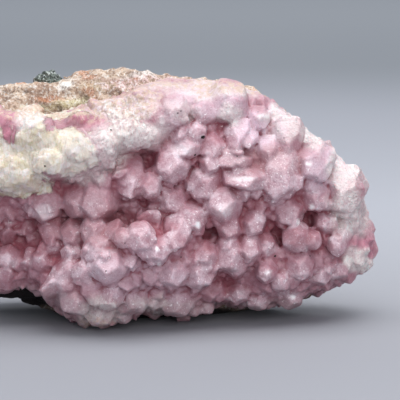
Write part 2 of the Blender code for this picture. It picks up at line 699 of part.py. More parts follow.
def make_named_crystals():
    """Return the crystals that the photograph shows, as closed meshes."""
    meshes = []
    for crystal in CRYSTALS:
        root = sight(crystal.root_pixel, bed_depth(crystal.root_pixel) + ROOT_DEPTH)
        tip = sight(crystal.tip_pixel, bed_depth(crystal.tip_pixel) - crystal.stand_out * MM)
        meshes.append(crystal_mesh(root, tip, crystal.width * MM, crystal.habit, crystal.turn))
    return meshes


def make_lumps():
    """Return the broken blocks of massive calcite, as closed meshes."""
    rng = random.Random(FILLER_SEED)
    meshes = []
    for lump in LUMPS:
        size = [length * MM for length in lump.size]
        depth = bed_depth(lump.pixel) - lump.stand_out * MM + LUMP_SINK * size[2]
        meshes.append(lump_mesh(sight(lump.pixel, depth), size, rng))
    return meshes


def make_rim_blocks():
    """Return the broken blocks round the crust's rim, as closed meshes."""
    rng = random.Random(RIM_BLOCK_SEED)
    meshes = []
    for index in range(RIM_BLOCKS):
        scatter = rng.uniform(-RIM_BLOCK_SCATTER, RIM_BLOCK_SCATTER)
        turn = math.tau * (index + scatter) / RIM_BLOCKS
        angle = math.atan2(math.sin(turn) * SPOKE_SQUEEZE, math.cos(turn))
        size = [rng.uniform(*RIM_BLOCK_SIZES) for _ in range(3)]
        along = abs(math.cos(angle)) * size[0] + abs(math.sin(angle)) * size[1]
        share = 1.0 - (0.5 * along - RIM_BLOCK_STAND_OUT) / PIXEL / CRUST.reach(angle)
        setback = RIM_ROW_SETBACKS[index % len(RIM_ROW_SETBACKS)]
        setback += rng.uniform(-RIM_SETBACK_SCATTER, RIM_SETBACK_SCATTER)
        depth = rim_depth(angle) + by_direction(RIM_THICKNESSES, angle) * setback
        meshes.append(lump_mesh(sight(CRUST.pixel(angle, share), depth), size, rng))
    return meshes


def make_rock_blocks():
    """Return the blocks that break up the host rock's ridge, back and ends, as closed meshes."""
    rng = random.Random(ROCK_BLOCK_SEED)
    meshes = []
    for block in ROCK_BLOCKS:
        size = [length * MM for length in block.size]
        meshes.append(lump_mesh(sight(block.pixel, block.depth * MM), size, rng))
    return meshes


def break_flat(mesh):
    """Cut flat breaks across the back of the host rock, and leave its outline as it is."""
    rng = random.Random(ROCK_BREAK_SEED)
    outline = []
    for angle in spoke_angles():
        start = seat_depth(angle, 1.0)
        depth = start + (by_direction(ROCK_BACK_DEPTHS, angle) - start) * ROCK_BACK_SHARES[1]
        outline.append(sight(ROCK.pixel(angle, 1.0), depth))
    for _ in range(ROCK_BREAKS):
        compass = math.radians(rng.uniform(*ROCK_BREAK_COMPASS))
        rise = math.radians(rng.uniform(*ROCK_BREAK_RISE))
        flat = Vector((math.sin(compass), math.cos(compass), 0.0))
        normal = flat * math.cos(rise) + Vector((0.0, 0.0, math.sin(rise)))
        bitten = max(vert.co.dot(normal) for vert in mesh.verts) - rng.uniform(*ROCK_BREAK_BITES)
        level = max(bitten, max(point.dot(normal) for point in outline))
        cut = bmesh.ops.bisect_plane(
            mesh,
            geom=mesh.verts[:] + mesh.edges[:] + mesh.faces[:],
            plane_co=normal * level,
            plane_no=normal,
            clear_outer=True,
        )
        rim = [edge for edge in cut["geom_cut"] if isinstance(edge, bmesh.types.BMEdge)]
        bmesh.ops.holes_fill(mesh, edges=rim, sides=0)
    bmesh.ops.recalc_face_normals(mesh, faces=mesh.faces)


def has_room(spot, width, taken):
    """Return whether a crystal of a width fits at a spot between the crystals that are there."""
    for other, other_width in taken:
        distance = np.hypot(*(spot - other)) * PIXEL
        if distance < FILLER_SPACING * 0.5 * (width + other_width):
            return False
    return True


def make_fillers():
    """Return small crystals that fill the bed between the larger ones, as closed meshes."""
    rng = random.Random(FILLER_SEED)
    taken = []
    for crystal in CRYSTALS:
        middle = 0.5 * (np.array(crystal.root_pixel) + np.array(crystal.tip_pixel))
        taken.append((middle, crystal.width * MM))
    meshes = []
    for _ in range(FILLER_TRIES):
        if len(meshes) >= FILLER_LIMIT:
            break
        pixel = (rng.uniform(*FILLER_COLUMNS), rng.uniform(*FILLER_ROWS))
        width = rng.uniform(*FILLER_WIDTHS)
        if polar(pixel)[1] > FILLER_RIM_SHARE or ledge_share(pixel) > FILLER_LEDGE_SHARE:
            continue
        if not has_room(np.array(pixel), width, taken):
            continue
        taken.append((np.array(pixel), width))
        loose = Vector((rng.uniform(-1, 1), rng.uniform(-1, 1), rng.uniform(-1, 1)))
        direction = (BED_SHARE * bed_normal(pixel) + LEAN + RANDOM_SHARE * loose).normalized()
        foot = sight(pixel, bed_depth(pixel))
        root = foot - direction * ROOT_DEPTH
        tip = foot + direction * width * rng.uniform(*FILLER_TIPS)
        habit = rng.choice(FILLER_HABITS)
        meshes.append(crystal_mesh(root, tip, width, habit, rng.uniform(0, 120)))
    return meshes


def make_ore():
    """Return the convex pieces of the dark ore cluster: its body, and the blades that fan out of it."""
    rng = random.Random(ORE_SEED)
    centre = sight(ORE_PIXEL, ORE_DEPTH)
    size = [2 * ORE_RADIUS * share for share in ORE_PROPORTIONS]
    pieces = [lump_mesh(centre, size, rng, ORE_CORNERS)]
    for index in range(ORE_BLADES):
        swing = ORE_FAN * (index / (ORE_BLADES - 1) - 0.5)
        lean = rng.uniform(*ORE_BLADE_LEANS)
        direction = Vector((math.sin(swing), lean, math.cos(swing) * ORE_BLADE_RISE)).normalized()
        tip = centre + direction * ORE_RADIUS * rng.uniform(*ORE_BLADE_REACHES)
        width = rng.uniform(*ORE_BLADE_WIDTHS)
        pieces.append(crystal_mesh(centre, tip, width, BLUNT, rng.uniform(0, 60)))
    return pieces


def grown(mesh, distance):
    """Return a mesh whose points are moved outwards, for cutting room around it."""
    mesh.normal_update()
    for vert, move in [(vert, vert.normal * distance) for vert in mesh.verts]:
        vert.co += move
    return mesh


def clear_scene():
    """Remove every object, so that the file holds only the specimen."""
    for thing in list(bpy.data.objects):
        bpy.data.objects.remove(thing, do_unlink=True)


def make_material(name, finish):
    """Return a plain material with the finish's colour, roughness and metallic value."""
    material = bpy.data.materials.new(name)
    material.use_nodes = True
    shader = material.node_tree.nodes["Principled BSDF"]
    shader.inputs["Base Color"].default_value = finish.colour
    shader.inputs["Roughness"].default_value = finish.roughness
    shader.inputs["Metallic"].default_value = finish.metallic
    material.diffuse_color = finish.colour
    return material


def to_object(name, mesh):
    """Return a scene object that holds a finished mesh."""
    data = bpy.data.meshes.new(name)
    mesh.to_mesh(data)
    mesh.free()
    thing = bpy.data.objects.new(name, data)
    bpy.context.scene.collection.objects.link(thing)
    return thing


def combine(body, tools, operation):
    """Join closed meshes to a body, or cut them out of it, in one exact Boolean."""
    group = bpy.data.collections.new(body.name + "_tools")
    for index, mesh in enumerate(tools):
        tool = to_object(f"{body.name}_tool_{index}", mesh)
        group.objects.link(tool)
    modifier = body.modifiers.new("Join", "BOOLEAN")
    modifier.operation = operation
    modifier.operand_type = "COLLECTION"
    modifier.collection = group
    modifier.solver = "EXACT"
    graph = bpy.context.evaluated_depsgraph_get()
    result = bpy.data.meshes.new_from_object(body.evaluated_get(graph))
    body.modifiers.clear()
    body.data = result
    for tool in list(group.objects):
        bpy.data.objects.remove(tool, do_unlink=True)
    bpy.data.collections.remove(group)


def slab_below(level):
    """Return a wide block whose top is at a level, to cut the specimen's underside flat."""
    mesh = bmesh.new()
    place = Matrix.Translation((0.0, 0.0, level - 0.5 * SLAB_SIDE)) @ Matrix.Scale(SLAB_SIDE, 4)
    bmesh.ops.create_cube(mesh, size=1.0, matrix=place)
    return mesh


def outer_shell(mesh):
    """Delete every closed shell but the largest: the rest line hollows that the joined pieces enclose."""
    unseen = set(mesh.verts)
    shells = []
    while unseen:
        front = [unseen.pop()]
        found = list(front)
        while front:
            vert = front.pop()
            for edge in vert.link_edges:
                other = edge.other_vert(vert)
                if other in unseen:
                    unseen.remove(other)
                    front.append(other)
                    found.append(other)
        shells.append(found)
    shells.sort(key=len)
    for found in shells[:-1]:
        bmesh.ops.delete(mesh, geom=found, context="VERTS")


def thin_out(thing, triangles):
    """Merge the least needed points of a joined piece, down to about a number of triangles."""
    tidy_mesh(thing)
    modifier = thing.modifiers.new("Thin", "DECIMATE")
    modifier.ratio = min(1.0, triangles / len(thing.data.polygons))
    graph = bpy.context.evaluated_depsgraph_get()
    result = bpy.data.meshes.new_from_object(thing.evaluated_get(graph))
    thing.modifiers.clear()
    thing.data = result


def tidy_mesh(thing):
    """Leave one closed shell, and merge points that the Booleans left almost on top of each other."""
    mesh = bmesh.new()
    mesh.from_mesh(thing.data)
    outer_shell(mesh)
    bmesh.ops.remove_doubles(mesh, verts=mesh.verts, dist=MERGE_DISTANCE)
    bmesh.ops.dissolve_degenerate(mesh, edges=mesh.edges, dist=MERGE_DISTANCE)
    bmesh.ops.triangulate(mesh, faces=mesh.faces)
    mesh.to_mesh(thing.data)
    mesh.free()


def stand_on_origin(things):
    """Move the pieces so that they stand on z = 0 with the middle of their box over the origin.

    Returns the move, which is also where the photograph's middle lies in the finished frame.
    """
    points = np.array([vert.co for thing in things for vert in thing.data.vertices])
    low = points.min(axis=0)
    high = points.max(axis=0)
    shift = Vector((-0.5 * (low[0] + high[0]), -0.5 * (low[1] + high[1]), -low[2]))
    for thing in things:
        thing.data.transform(Matrix.Translation(shift))
    return shift


def main():
    """Build the specimen."""
    clear_scene()
    floor = sight(LOWEST_KNOB_PIXEL, LOWEST_KNOB_DEPTH).z

    ore_body, *ore_blades = make_ore()
    ore = to_object("dark_ore_cluster", ore_body)
    combine(ore, ore_blades, "UNION")
    tidy_mesh(ore)

    rock = to_object("host_rock", make_rock_body())
    combine(rock, make_rock_blocks(), "UNION")
    uncut = bmesh.new()
    uncut.from_mesh(rock.data)
    break_flat(uncut)
    uncut.to_mesh(rock.data)
    thin_out(rock, ROCK_TRIANGLES)
    uncut.clear()
    uncut.from_mesh(rock.data)
    combine(rock, [slab_below(floor)] + [grown(piece, GAP) for piece in make_ore()], "DIFFERENCE")
    tidy_mesh(rock)

    crust = to_object("calcite_crust", make_crust_bed())
    blocks = make_lumps() + make_rim_blocks()
    combine(crust, blocks + make_named_crystals() + make_fillers(), "UNION")
    thin_out(crust, CRUST_TRIANGLES)
    combine(crust, [slab_below(floor), grown(uncut, GAP)], "DIFFERENCE")
    tidy_mesh(crust)

    for thing, finish in ((crust, PINK_CALCITE), (rock, BROWN_ROCK), (ore, GREEN_GREY_ORE)):
        thing.data.materials.clear()
        thing.data.materials.append(make_material(thing.name, finish))
    shift = stand_on_origin([crust, rock, ore])
    print("middle of the photograph, mm:", [round(value / MM, 3) for value in shift])
    for thing in (crust, rock, ore):
        print(thing.name, len(thing.data.polygons), "triangles")


main()
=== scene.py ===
"""Looks of a cobaltoan calcite specimen: a pink crystal crust on brown host rock.

Every length is in metres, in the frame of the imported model: +Z is up, +X runs along the specimen
to the right and +Y runs away from the crystals. Places that are read from the photograph are
pixels of its 400 by 400 frame. The class Photograph turns them into directions of view, and
points into pixels.
"""

from __future__ import annotations

import json
import logging
import math
import random
from dataclasses import dataclass, field
from enum import Enum
from typing import Any, Iterable, NamedTuple

import bmesh
import bpy
import numpy as np
from bpy.types import Collection, Material, Mesh, Node, NodeSocket, NodeTree, Object
from mathutils import Matrix, Vector
from mathutils.bvhtree import BVHTree

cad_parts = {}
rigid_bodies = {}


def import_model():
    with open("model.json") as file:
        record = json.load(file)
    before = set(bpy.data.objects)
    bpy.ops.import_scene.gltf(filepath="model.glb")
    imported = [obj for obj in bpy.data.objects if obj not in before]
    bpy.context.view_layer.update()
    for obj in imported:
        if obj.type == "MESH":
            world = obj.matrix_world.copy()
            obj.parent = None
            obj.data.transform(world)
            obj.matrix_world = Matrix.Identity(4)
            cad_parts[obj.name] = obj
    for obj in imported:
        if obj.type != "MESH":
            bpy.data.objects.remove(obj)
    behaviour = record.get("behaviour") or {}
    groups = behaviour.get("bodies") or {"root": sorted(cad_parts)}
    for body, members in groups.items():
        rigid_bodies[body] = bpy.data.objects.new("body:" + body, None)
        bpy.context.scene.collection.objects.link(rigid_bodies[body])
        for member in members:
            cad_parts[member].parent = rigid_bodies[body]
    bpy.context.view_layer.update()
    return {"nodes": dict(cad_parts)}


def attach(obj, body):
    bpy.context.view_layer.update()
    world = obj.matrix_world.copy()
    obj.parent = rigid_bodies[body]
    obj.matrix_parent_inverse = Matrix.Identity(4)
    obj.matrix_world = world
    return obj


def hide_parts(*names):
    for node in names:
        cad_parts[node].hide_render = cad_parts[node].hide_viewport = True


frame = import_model()

Array = np.ndarray
Triple = tuple[float, float, float]
Colour = Triple
Shape = bmesh.types.BMesh

LOG = logging.getLogger("calcite_specimen")
MM = 0.001
FAR = 9.0  # further than any cell's middle, in cell sizes
HASH = (73856093, 19349663, 83492791)
LAYER_SHIFT = 0.0137  # keeps the layers of a noise apart, in metres
PATCH_EDGE = (1.25, 0.6)  # where a patch's soft edge begins and ends, as shares of its reach
ROOT_LENGTH = 0.75  # of a crystal one unit across, below its middle
UP = Vector((0.0, 0.0, 1.0))
WELD = 0.001 * MM


@dataclass(frozen=True)
class Photograph:
    """How the photograph sees the specimen."""

    aim: Triple = (0.014024, -0.0044, 0.032818)
    distance: float = 0.6
    tilt: float = math.radians(8.0)
    pixel: float = 0.26 * MM
    width: float = 400.0

    @property
    def forward(self) -> Array:
        """Direction in which the camera looks."""
        return np.array((0.0, math.cos(self.tilt), -math.sin(self.tilt)))

    @property
    def upward(self) -> Array:
        """Direction that is up in the picture."""
        return np.array((0.0, math.sin(self.tilt), math.cos(self.tilt)))

    @property
    def eye(self) -> Array:
        """Place of the camera."""
        return np.array(self.aim) - self.distance * self.forward

    def pixels(self, points: Array) -> Array:
        """Find where the photograph shows points.

        Args:
            points: One row of x, y and z for each point.

        Returns:
            One row of column and row for each point, in pixels.
        """
        offsets = points - np.array(self.aim)
        scale = self.distance / (self.distance + offsets @ self.forward) / self.pixel
        middle = 0.5 * self.width
        return np.column_stack((middle + offsets[:, 0] * scale, middle - offsets @ self.upward * scale))

    def ray(self, pixel: tuple[float, float]) -> Vector:
        """Find the direction from the camera through a pixel.

        Args:
            pixel: Column and row.

        Returns:
            A unit vector.
        """
        middle = 0.5 * self.width
        across = (pixel[0] - middle) * self.pixel
        rise = (middle - pixel[1]) * self.pixel
        way = self.distance * self.forward + np.array((across, 0.0, 0.0)) + rise * self.upward
        return Vector(way).normalized()


PHOTO = Photograph()


@dataclass(frozen=True)
class Noise:
    """Seeded unevenness in space, for shapes and for masks."""

    seed: int

    def draw(self, cells: Array, salt: int) -> Array:
        """Give each whole-numbered cell a fixed random number.

        Args:
            cells: One row of three whole numbers for each cell.
            salt: Chooses one of many independent numbers.

        Returns:
            Numbers from 0 to 1.
        """
        mixed = cells[:, 0] * HASH[0] ^ cells[:, 1] * HASH[1] ^ cells[:, 2] * HASH[2]
        mixed = (mixed ^ (self.seed * 40503 + salt * 97531)) & 0xFFFFFFFF
        for _ in range(2):
            mixed = ((mixed >> 16 ^ mixed) * 0x45D9F3B) & 0xFFFFFFFF
        return (mixed >> 16 ^ mixed) / 0xFFFFFFFF

    def smooth(self, points: Array, wavelength: float) -> Array:
        """Read smooth noise at points.

        Args:
            points: One row for each point.
            wavelength: Distance over which the noise changes.

        Returns:
            Numbers from -1 to 1.
        """
        scaled = points / wavelength
        low = np.floor(scaled)
        share = scaled - low
        ease = share * share * (3.0 - 2.0 * share)
        total = np.zeros(len(points))
        for corner in np.ndindex(2, 2, 2):
            step = np.array(corner)
            weight = np.prod(np.where(step == 1, ease, 1.0 - ease), axis=1)
            total += weight * self.draw((low + step).astype(np.int64), 0)
        return total * 2.0 - 1.0

    def layered(self, points: Array, wavelength: float, layers: int) -> Array:
        """Read noise that has finer and weaker layers on top of the first.

        Args:
            points: One row for each point.
            wavelength: Distance over which the coarsest layer changes.
            layers: How many layers, each half as long and half as strong as the last.

        Returns:
            Numbers from about -1 to 1.
        """
        total = np.zeros(len(points))
        for layer in range(layers):
            total += 0.5**layer * self.smooth(points + layer * LAYER_SHIFT, wavelength * 0.5**layer)
        return total / (2.0 - 0.5 ** (layers - 1))

    def cells(self, points: Array, size: float) -> tuple[Array, Array, Array]:
        """Find the scattered cell that each point lies in.

        Args:
            points: One row for each point.
            size: Usual distance between the middles of two cells.

        Returns:
            The distance to the nearest middle and to the second nearest, in cell sizes, and the
            nearest cell as three whole numbers.
        """
        scaled = points / size
        home = np.floor(scaled).astype(np.int64)
        nearest = second = np.full(len(points), FAR)
        found = np.zeros_like(home)
        for offset in np.ndindex(3, 3, 3):
            cell = home + np.array(offset) - 1
            middle = cell + np.column_stack([self.draw(cell, salt) for salt in (1, 2, 3)])
            distance = np.linalg.norm(scaled - middle, axis=1)
            closer = distance < nearest
            second = np.where(closer, nearest, np.minimum(second, distance))
            nearest = np.where(closer, distance, nearest)
            found[closer] = cell[closer]
        return nearest, second, found

    def chips(self, points: Array, size: float, salt: int) -> Array:
        """Read a random number that is the same all over a scattered cell."""
        return self.draw(self.cells(points, size)[2], salt)

    def warp(self, points: Array, wavelength: float) -> Array:
        """Read two independent layered noises, to shift pixels by."""
        return np.column_stack([self.layered(points + shift, wavelength, 3) for shift in (0.0, 0.05)])


def ramp(values: Array, start: float, end: float) -> Array:
    """Rise smoothly from 0 at start to 1 at end.

    Args:
        values: The numbers to place on the ramp.
        start: Where the ramp leaves 0; it may be above end for a falling ramp.
        end: Where the ramp reaches 1.

    Returns:
        Numbers from 0 to 1.
    """
    share = np.clip((values - start) / (end - start), 0.0, 1.0)
    return share * share * (3.0 - 2.0 * share)


class Surface:
    """A mesh as arrays: its points, their normals and which points are neighbours."""

    def __init__(self, mesh: Mesh) -> None:
        """Read the mesh.

        Args:
            mesh: The mesh, which is written again by store.
        """
        self.mesh = mesh
        count = len(mesh.vertices)
        flat = np.empty(count * 3, np.float32)
        mesh.vertices.foreach_get("co", flat)
        self.points = flat.reshape(-1, 3).astype(float)
        ends = np.empty(len(mesh.edges) * 2, np.int32)
        mesh.edges.foreach_get("vertices", ends)
        pairs = ends.reshape(-1, 2)
        self.starts = np.concatenate((pairs[:, 0], pairs[:, 1]))
        self.ends = np.concatenate((pairs[:, 1], pairs[:, 0]))
        self.neighbours = np.maximum(np.bincount(self.starts, minlength=count), 1)
        self.read_normals()

    def read_normals(self) -> None:
        """Read the normals at the points again."""
        flat = np.empty(len(self.points) * 3, np.float32)
        self.mesh.vertex_normals.foreach_get("vector", flat)
        self.normals = flat.reshape(-1, 3).astype(float)

    def averaged(self, values: Array, rounds: int) -> Array:
        """Replace each point's values by those of its neighbours, again and again.

        Args:
            values: One row for each point.
            rounds: How often.

        Returns:
            The smoothed values.
        """
        columns = []
        for column in np.atleast_2d(values.T):
            smooth = column
            for _ in range(rounds):
                total = np.bincount(self.starts, smooth[self.ends], minlength=len(smooth))
                smooth = 0.5 * smooth + 0.5 * total / self.neighbours
            columns.append(smooth)
        return columns[0] if values.ndim == 1 else np.column_stack(columns)

    def relief(self, rounds: int) -> Array:
        """Measure how far each point stands out of its smoothed surroundings, in metres."""
        return np.sum((self.points - self.averaged(self.points, rounds)) * self.normals, axis=1)

    def store(self) -> None:
        """Write the points back to the mesh, and read the new normals."""
        self.mesh.vertices.foreach_set("co", self.points.astype(np.float32).ravel())
        self.mesh.update()
        self.read_normals()

    def push(self, move: Array, share: Array | float = 1.0) -> None:
        """Move the points outwards, but none below the floor.

        Args:
            move: How far, in metres, which is evened out a little.
            share: The part of it that each point moves by.
        """
        self.points += self.normals * (share * self.averaged(move, 1))[:, None]
        self.points[:, 2] = np.maximum(self.points[:, 2], 0.0)
        self.store()

    def note(self, name: str, values: Array) -> None:
        """Keep a number for each point, for a material to read."""
        layer = self.mesh.attributes.get(name) or self.mesh.attributes.new(name, "FLOAT", "POINT")
        layer.data.foreach_set("value", values.astype(np.float32))


class Patch(NamedTuple):
    """A patch of colour on the side that the photograph shows: its middle and reach in pixels."""

    name: str
    pixel: tuple[float, float]
    reach: tuple[float, float]
    strength: float = 1.0


def patch_mask(pixels: Array, patches: Iterable[Patch]) -> Array:
    """Lay soft-edged patches over the side that the photograph shows.

    Args:
        pixels: Where the photograph shows each point.
        patches: The patches.

    Returns:
        For each point the strength of the strongest patch on it.
    """
    mask = np.zeros(len(pixels))
    for patch in patches:
        offset = (pixels - np.array(patch.pixel)) / np.array(patch.reach)
        edge = ramp(np.linalg.norm(offset, axis=1), *PATCH_EDGE)
        mask = np.maximum(mask, patch.strength * edge)
    return mask


def evaluated_mesh(thing: Object) -> Mesh:
    """Turn an object with its modifiers into a plain mesh, and drop the modifiers.

    Args:
        thing: The object.

    Returns:
        The new mesh.
    """
    graph = bpy.context.evaluated_depsgraph_get()
    mesh = bpy.data.meshes.new_from_object(thing.evaluated_get(graph))
    thing.modifiers.clear()
    return mesh


def new_piece(name: str, mesh: Mesh) -> Object:
    """Put a mesh in the scene as an object at the origin.

    Args:
        name: Name of the piece.
        mesh: Its mesh.

    Returns:
        The object.
    """
    piece = bpy.data.objects.new(name, mesh)
    bpy.context.scene.collection.objects.link(piece)
    return piece


def voxel_union(piece: Object, voxel: float) -> None:
    """Melt the closed shells of a piece into one skin of small squares.

    Args:
        piece: The piece, whose mesh is replaced.
        voxel: Side of the squares.
    """
    modifier = piece.modifiers.new("Union", "REMESH")
    modifier.mode = "VOXEL"
    modifier.voxel_size = voxel
    piece.data = evaluated_mesh(piece)


def thin_out(piece: Object, triangles: int) -> None:
    """Take out the least needed points of a piece, down to a number of triangles.

    Args:
        piece: The piece, whose mesh is replaced.
        triangles: How many triangles may be left.
    """
    corners = len(piece.data.loops) - 2 * len(piece.data.polygons)
    modifier = piece.modifiers.new("Thin", "DECIMATE")
    modifier.ratio = min(1.0, triangles / corners)
    piece.data = evaluated_mesh(piece)


def node_copy(node: str) -> Mesh:
    """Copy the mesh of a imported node, with its loose triangles merged.

    Args:
        node: Name of the node.

    Returns:
        A closed mesh.
    """
    mesh = frame["nodes"][node].data.copy()
    shape = bmesh.new()
    shape.from_mesh(mesh)
    bmesh.ops.remove_doubles(shape, verts=shape.verts, dist=WELD)
    shape.to_mesh(mesh)
    shape.free()
    mesh.materials.clear()
    return mesh


def closed(shape: Shape, name: str) -> Mesh:
    """Turn a shape that is ready into a mesh.

    Args:
        shape: The shape, which is used up.
        name: Name of the mesh.

    Returns:
        The mesh.
    """
    mesh = bpy.data.meshes.new(name)
    shape.to_mesh(mesh)
    shape.free()
    return mesh


def joined(meshes: Iterable[Mesh]) -> Mesh:
    """Join meshes into one, as they lie.

    Args:
        meshes: The meshes, which are used up.

    Returns:
        The joined mesh.
    """
    shape = bmesh.new()
    for mesh in meshes:
        shape.from_mesh(mesh)
        bpy.data.meshes.remove(mesh)
    return closed(shape, "joined")


@dataclass(frozen=True)
class Wire:
    """A number or a vector in a node tree, which ordinary arithmetic works on."""

    board: Board
    socket: NodeSocket

    def math(self, operation: str, *values: Any) -> Wire:
        """Add a Math node."""
        return self.board.wire("ShaderNodeMath", dict(enumerate(values)), operation=operation)

    def __add__(self, other: Any) -> Wire:
        """Add a number or a wire."""
        return self.math("ADD", self, other)

    def __sub__(self, other: Any) -> Wire:
        """Take a number or a wire away."""
        return self.math("SUBTRACT", self, other)

    def __rsub__(self, other: Any) -> Wire:
        """Take this away from a number."""
        return self.math("SUBTRACT", other, self)

    def __mul__(self, other: Any) -> Wire:
        """Multiply by a number or a wire."""
        return self.math("MULTIPLY", self, other)

    __radd__ = __add__
    __rmul__ = __mul__

    def held(self) -> Wire:
        """Hold between 0 and 1."""
        return self.math("MINIMUM", self.math("MAXIMUM", self, 0.0), 1.0)

    def step(self, start: float, end: float) -> Wire:
        """Rise smoothly from 0 to 1.

        Args:
            start: Where the rise begins.
            end: Where it ends, which may be below start for a fall.

        Returns:
            The risen number.
        """
        low, high = sorted((start, end))
        inputs = {"Value": self, "From Min": low, "From Max": high}
        risen = self.board.wire("ShaderNodeMapRange", inputs, interpolation_type="SMOOTHSTEP")
        return risen if start < end else 1.0 - risen


@dataclass
class Board:
    """A node tree under construction."""

    tree: NodeTree

    def node(self, kind: str, inputs: dict[Any, Any] | None = None, **settings: Any) -> Node:
        """Add a node.

        Args:
            kind: Blender's name of the node's type.
            inputs: Values or wires for its sockets, by name or place.
            settings: Values of the node's own properties, which are set first.

        Returns:
            The node.
        """
        made = self.tree.nodes.new(kind)
        for name, value in settings.items():
            setattr(made, name, value)
        for key, value in (inputs or {}).items():
            if isinstance(value, Wire):
                self.tree.links.new(value.socket, made.inputs[key])
            else:
                made.inputs[key].default_value = value
        return made

    def wire(
        self, kind: str, inputs: dict[Any, Any] | None = None, output: Any = 0, **settings: Any
    ) -> Wire:
        """Add a node and take one of its outputs."""
        return Wire(self, self.node(kind, inputs, **settings).outputs[output])

    def vector(self, operation: str, inputs: dict[Any, Any]) -> Wire:
        """Add a Vector Math node."""
        return self.wire("ShaderNodeVectorMath", inputs, operation=operation)

    def random(self, kind: str, least: Any, greatest: Any, seed: Any) -> Wire:
        """Add a random value.

        Args:
            kind: FLOAT_VECTOR, FLOAT or INT.
            least: Its least value.
            greatest: Its greatest value.
            seed: Chooses the numbers.

        Returns:
            The value.
        """
        place = ("FLOAT_VECTOR", "FLOAT", "INT").index(kind)
        inputs = {2 * place: least, 2 * place + 1: greatest, "Seed": seed}
        return self.wire("FunctionNodeRandomValue", inputs, place, data_type=kind)


def shade(*levels: int) -> Colour:
    """Turn a colour as a screen shows it into linear light.

    Args:
        levels: Its red, green and blue, 0 to 255.

    Returns:
        The linear colour.
    """
    parts = (level / 255.0 for level in levels)
    return tuple(part / 12.92 if part <= 0.04045 else ((part + 0.055) / 1.055) ** 2.4 for part in parts)


class Paint(Board):
    """A material under construction."""

    def __init__(self, name: str) -> None:
        """Start an empty material.

        Args:
            name: Name of the material.
        """
        self.material = bpy.data.materials.new(name)
        self.material.use_nodes = True
        super().__init__(self.material.node_tree)
        self.tree.nodes.clear()
        self.place = self.wire("ShaderNodeTexCoord", output="Object")

    def noise(
        self, size: float, detail: float = 2.0, roughness: float = 0.5, stretch: Triple = (1.0, 1.0, 1.0)
    ) -> Wire:
        """Read smooth noise.

        Args:
            size: Usual distance between two bumps, in metres.
            detail: How many finer layers it has.
            roughness: Strength of the finer layers.
            stretch: Less than 1 draws it out along that axis.

        Returns:
            Numbers around 0.5.
        """
        place = self.vector("MULTIPLY", {0: self.place, 1: stretch})
        inputs = {"Vector": place, "Scale": 1.0 / size, "Detail": detail, "Roughness": roughness}
        return self.wire("ShaderNodeTexNoise", inputs, "Fac")

    def cells(self, size: float, output: str) -> Wire:
        """Read a texture of scattered cells."""
        return self.wire("ShaderNodeTexVoronoi", {"Vector": self.place, "Scale": 1.0 / size}, output)

    def mask(self, name: str) -> Wire:
        """Read a number that is kept at the points of the mesh."""
        return self.wire("ShaderNodeAttribute", output="Fac", attribute_name=name)

    def coats(self, colour: Any, *layers: tuple[Any, Any]) -> Wire:
        """Lay colours over one another.

        Args:
            colour: The lowest, a colour or a wire.
            layers: For each one above it its share, which is held between 0 and 1, and its colour.

        Returns:
            The mixed colour.
        """
        for amount, above in layers:
            pair = [(*value, 1.0) if isinstance(value, tuple) else value for value in (colour, above)]
            inputs = {0: amount, 6: pair[0], 7: pair[1]}
            colour = self.wire("ShaderNodeMix", inputs, 2, data_type="RGBA", clamp_factor=True)
        return colour

    def relief(self, *layers: tuple[Wire, float, float]) -> Wire:
        """Turn heights into a normal.

        Args:
            layers: Heights from 0 to 1, the height of 1 in metres, and the share of the effect.

        Returns:
            The normal.
        """
        below: dict[str, Wire] = {}
        for height, distance, strength in layers:
            inputs = {"Height": height, "Distance": distance, "Strength": strength, **below}
            below = {"Normal": self.wire("ShaderNodeBump", inputs)}
        return below["Normal"]

    def finish(self, constants: dict[str, Any], varying: dict[str, Wire]) -> Material:
        """Close the material with its shader.

        Args:
            constants: Values that are the same all over.
            varying: Wires for the sockets that may vary.

        Returns:
            The material.
        """
        shader = self.wire("ShaderNodeBsdfPrincipled", {**constants, **varying})
        self.node("ShaderNodeOutputMaterial", {"Surface": shader})
        return self.material


